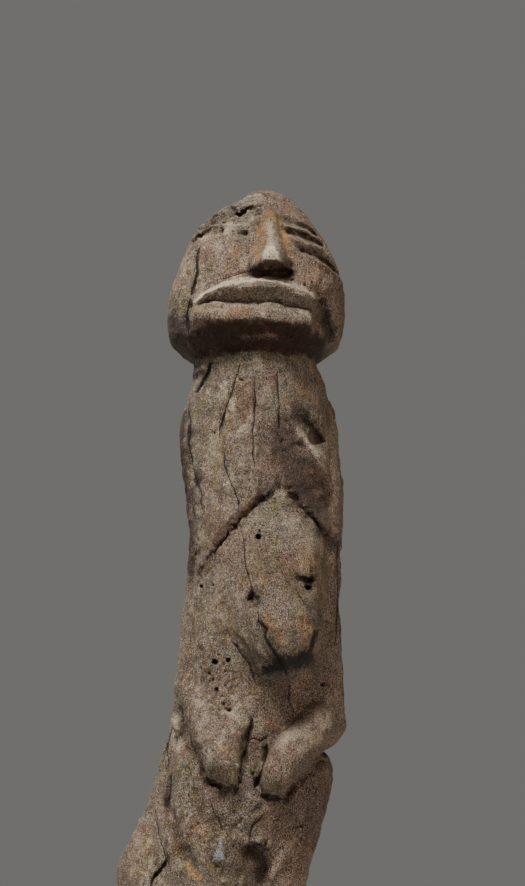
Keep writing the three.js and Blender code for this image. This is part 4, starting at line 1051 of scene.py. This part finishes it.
# Smooth curves: the pattern or measure read, its two ends, and the value at each where that isn't 0 and 1.
CURVES = {
    "patches": ("patchy", 0.38, 0.62, 0.7, 1.7), "side": ("pale", 0.0, 1.0, 2.1, 1.1),
    "mid": ("tone", 0.395, 0.485), "light": ("tone", 0.50, 0.60), "olive": ("cool", 0.45, 0.65),
    "rose": ("warm", 0.52, 0.66, 0, 0.8), "straw": ("warm", 0.46, 0.34, 0, 0.8),
    "gold": ("warm", 0.50, 0.42), "reddish": ("broad", 0.42, 0.70, 0, 0.55),
    "glints": ("tone", 0.50, 0.58, 1, 0.6), "worn": ("bend", 0.44, 0.20),
    "worn_tone": ("tone", 0.44, 0.56, 0, 0.85), "fleck_clot": ("clot", 0.52, 0.63),
    "fleck_blotch": ("blotch", 0.42, 0.60), "fleck_speck": ("speck", 0.40, 0.56),
    "rot_tone": ("tone", 0.42, 0.58, 0.7, 0.35), "gold_clot": ("clot", 0.38, 0.58, 0.25, 1),
    "gold_streak": ("streak", 0.38, 0.58, 0.5, 1), "gold_fine": ("fine", 0.38, 0.62),
    "cream_tone": ("tone", 0.43, 0.54, 0.15, 1), "lights": ("sharp", 0.53, 0.60),
    "pits": ("sharp", 0.46, 0.38, 0, 0.6), "white": ("speck", 0.60, 0.67),
    "flake_speck": ("speck", 0.44, 0.56, 0.1, 1), "blackened_tone": ("tone", 0.47, 0.62, 1, 0.85),
    "crease_shade": ("bend", 0.54, 0.80, 0, 0.9), "enclosed_shade": ("shut", 0.22, 0.78, 0, 0.92),
    "crack_edge": ("fine", 0.3, 0.7, -0.35, 0.35), "crack_clot": ("clot", 0.35, 0.65, -0.25, 0.25),
    "bore_edge": ("fine", 0.3, 0.7, -0.15, 0.15), "roughness": ("tone", 0.38, 0.62, 0.70, 0.92),
}
CRACK_OPENS = (0.12, 0.55)
CRACK_INSIDE = (1.3, 0.55)
BORE_INSIDE = (0.2, -0.3)
HOLLOW_SHARE = 0.96


def wood_patterns(n):
    place = n.add("ShaderNodeTexCoord").outputs["Object"]
    places = {"place": place}
    for name, upward in STRETCHES.items():
        mapping = n.add("ShaderNodeMapping", {"Vector": place, "Scale": (1, 1, upward)})
        places[name] = mapping.outputs["Vector"]
    patterns = {name: n.noise(places[stretch], *rest) for name, (stretch, *rest) in PATTERNS.items()}

    def curve(name):
        source, *ends = CURVES[name]
        return n.span(patterns[source] if source in patterns else n.measure(source), *ends)

    fine = n.weighted(patterns, FINE_SHARES)
    rough = n.times(curve("patches"), curve("side"))
    patterns["fine"] = n.math("ADD", n.times(n.math("SUBTRACT", fine, 0.5), rough), 0.5)
    patterns["tone"] = n.weighted(patterns, TONE_SHARES)
    patterns["sharp"] = n.weighted(patterns, SHARP_SHARES)
    return patterns, curve


def by_side(n, strengths):
    return n.math("ADD", n.times(n.measure("pale"), strengths[0]), strengths[1])


def bare_wood(n, curve, dust, outside_deep_shade):
    """The wood's colour with its grain, worn edges and pale flecks."""
    colour = n.mix(curve("mid"), WOOD_DARK, WOOD_MID)
    colour = n.mix(curve("light"), colour, WOOD_PALE)
    colour = n.tint(curve("olive"), colour, OLIVE_TINT)
    colour = n.tint(curve("rose"), colour, ROSE_TINT)
    colour = n.tint(curve("straw"), colour, STRAW_TINT)
    colour = n.tint(curve("reddish"), colour, RED_TINT)
    colour = n.tint(n.times(n.measure("red"), curve("glints")), colour, RED_TINT)
    colour = n.mix(n.times(curve("worn"), curve("worn_tone")), colour, WOOD_PALE)
    flecks = n.times(n.times(curve("fleck_clot"), curve("fleck_blotch")), curve("fleck_speck"))
    return n.mix(n.times(n.times(flecks, outside_deep_shade), by_side(n, FLECKS)), colour, dust)


def stained_wood(n, curve, colour, gloss_and_glints, dust, outside_deep_shade):
    """Rot, gold, pale patches with painted highlights, darker stains with painted shade, painted deep shade
    and the broken spot's painted shade over the wood, then painted glints, pits and the flake.
    """
    colour = n.mix(n.times(n.measure("rot"), curve("rot_tone")), colour, GREY)
    golden = n.times(curve("gold_clot"), curve("gold_streak"))
    ochre = n.mix(curve("gold_fine"), OCHRE_DEEP, OCHRE)
    colour = n.mix(n.times(n.measure("ochre"), golden), colour, ochre)
    # Pale patches and painted highlights.
    colour = n.mix(n.times(n.measure("pale_patch_and_highlight"), curve("cream_tone")), colour, CREAM)
    # Darker stains and painted shade.
    colour = n.tint(n.times(n.measure("dark_stain_and_shade"), curve("glints")), colour, DARK_TINT)
    # Painted deep shade.
    colour = n.tint(n.measure("deep_painted_shade"), colour, DEEP_SHADE_TINT)
    # The broken spot on the neck's left is tinted darker: painted shade.
    colour = n.tint(n.measure("break"), colour, DARK_TINT)
    # Painted glints: pale specks, warm and strongest where the wood is glossy.
    lights = n.times(curve("lights"), n.math("ADD", gloss_and_glints, PAINTED_GLINTS_EVERYWHERE))
    colour = n.mix(n.times(lights, outside_deep_shade), colour, n.mix(gloss_and_glints, WOOD_PALE, WARM_GLINT))
    colour = n.tint(curve("pits"), colour, PIT_TINT)
    white = n.times(curve("white"), by_side(n, WHITES))
    colour = n.mix(n.times(n.times(white, outside_deep_shade), n.left_of_one(gloss_and_glints)), colour, dust)
    colour = n.mix(n.times(n.measure("flake"), curve("flake_speck")), colour, BLUE_WHITE)
    # Near-black on the belly's lower end.
    return n.mix(n.times(n.measure("blackened"), curve("blackened_tone")), colour, NEAR_BLACK)


def painted_crease_and_hollow_shade(n, curve, colour):
    """Painted shade in the creases and enclosed places, and painted shade inside cracks and holes."""
    # Painted shade in creases and enclosed places.
    colour = n.tint(n.math("MAXIMUM", curve("crease_shade"), curve("enclosed_shade")), colour, CREASE_SHADE_TINT)
    # Painted shade, nearly black, inside cracks and holes.
    side = n.math("ADD", n.math("ABSOLUTE", n.measure("crack_side")), curve("crack_edge"))
    gaping = n.math("ADD", n.measure("crack_open"), curve("crack_clot"))
    hollow_shade = n.times(n.span(side, *CRACK_INSIDE), n.span(gaping, *CRACK_OPENS))
    bore = n.math("ADD", n.measure("bore"), curve("bore_edge"))
    hollow_shade = n.math("MAXIMUM", hollow_shade, n.span(bore, *BORE_INSIDE))
    return n.mix(n.times(hollow_shade, HOLLOW_SHARE), colour, HOLLOW_SHADE)


def wood_material():
    material = bpy.data.materials.new("weathered_wood")
    n = Nodes(material)
    patterns, curve = wood_patterns(n)
    dust = n.mix(curve("gold"), DUST, GOLD_DUST)
    # Where there is no painted deep shade: flecks and painted glints are kept out of it.
    outside_deep_shade = n.left_of_one(n.measure("deep_painted_shade"))
    # Gloss: smoother wood, and where the painted glints go.
    gloss_and_glints = n.math("MAXIMUM", n.measure("red"), n.times(n.measure("dark_stain_and_shade"), GLOSS_OF_DARK))
    colour = bare_wood(n, curve, dust, outside_deep_shade)
    colour = stained_wood(n, curve, colour, gloss_and_glints, dust, outside_deep_shade)
    colour = painted_crease_and_hollow_shade(n, curve, colour)

    height = n.weighted(patterns, HEIGHT_SHARES)
    bumps = n.add("ShaderNodeBump", {"Strength": 1.0, "Distance": BUMP_DISTANCE, "Height": height})
    roughness = n.math("SUBTRACT", curve("roughness"), n.times(gloss_and_glints, GLOSS_SMOOTHS))
    n.surface({"Base Color": colour, "Roughness": roughness, "Specular IOR Level": SPECULAR,
               "Normal": bumps.outputs["Normal"]})
    return material


def plain_material(name, colour, roughness):
    material = bpy.data.materials.new(name)
    Nodes(material).surface({"Base Color": (*colour, 1), "Roughness": roughness})
    return material


figure = figure_mesh()
paint(figure)
figure.data.materials.clear()
figure.data.materials.append(wood_material())
figure.data.polygons.foreach_set("use_smooth", np.ones(len(figure.data.polygons), bool))
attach(figure, "root")
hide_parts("figure")

# The studio: a pale floor, a grey surround, a soft light from the upper left and weak ones elsewhere.

FLOOR_HALF = 3.0
FLOOR_COLOUR = (0.55, 0.54, 0.52)
SURROUND = (0.165, 0.160, 0.152)
SURROUND_LIGHT = 0.30
# Each light: its name, place, the point it shines on, size, power and colour.
LIGHTS = [
    ("key", (-0.44, -0.80, 1.84), (0.01, 0, 0.40), 0.5, 52.5, (1.0, 0.97, 0.92)),
    ("fill", (1.4, -0.9, 0.7), (0.01, 0, 0.32), 1.0, 9.0, (1.0, 0.84, 0.70)),
    ("back", (-0.5, 1.5, 1.2), (0.01, 0, 0.32), 1.2, 13, (0.95, 0.97, 1.0)),
]
CAMERA_PLACE = (0.022, -1.25, 0.19)
CAMERA_TILT = 100
LENS = 85
SENSOR_WIDTH = 36

floor_mesh = bpy.data.meshes.new("floor")
corners = [(a * FLOOR_HALF, b * FLOOR_HALF, 0) for a, b in ((-1, -1), (1, -1), (1, 1), (-1, 1))]
floor_mesh.from_pydata(corners, [], [(0, 1, 2, 3)])
floor = bpy.data.objects.new("floor", floor_mesh)
floor_mesh.materials.append(plain_material("pale_floor", FLOOR_COLOUR, 0.9))
bpy.context.collection.objects.link(floor)

world = bpy.data.worlds.new("studio")
world.use_nodes = True
bpy.context.scene.world = world
world_nodes = world.node_tree.nodes
background = world_nodes["Background"]
background.inputs["Color"].default_value = (*SURROUND, 1)
seen = world_nodes.new("ShaderNodeLightPath")
strength = world_nodes.new("ShaderNodeMapRange")
strength.inputs["To Min"].default_value = SURROUND_LIGHT
strength.inputs["To Max"].default_value = 1.0
world.node_tree.links.new(seen.outputs["Is Camera Ray"], strength.inputs["Value"])
world.node_tree.links.new(strength.outputs[0], background.inputs["Strength"])


def soft_light(name, place, aim, size, power, colour):
    data = bpy.data.lights.new(name, "AREA")
    data.size = size
    data.energy = power
    data.color = colour
    light = bpy.data.objects.new(name, data)
    light.location = place
    light.rotation_euler = (Vector(aim) - Vector(place)).to_track_quat("-Z", "Y").to_euler()
    bpy.context.collection.objects.link(light)


for row in LIGHTS:
    soft_light(*row)

camera_data = bpy.data.cameras.new("camera")
camera_data.lens = LENS
camera_data.sensor_width = SENSOR_WIDTH
camera = bpy.data.objects.new("camera", camera_data)
camera.location = CAMERA_PLACE
camera.rotation_euler = (math.radians(CAMERA_TILT), 0, 0)
bpy.context.collection.objects.link(camera)
bpy.context.scene.camera = camera
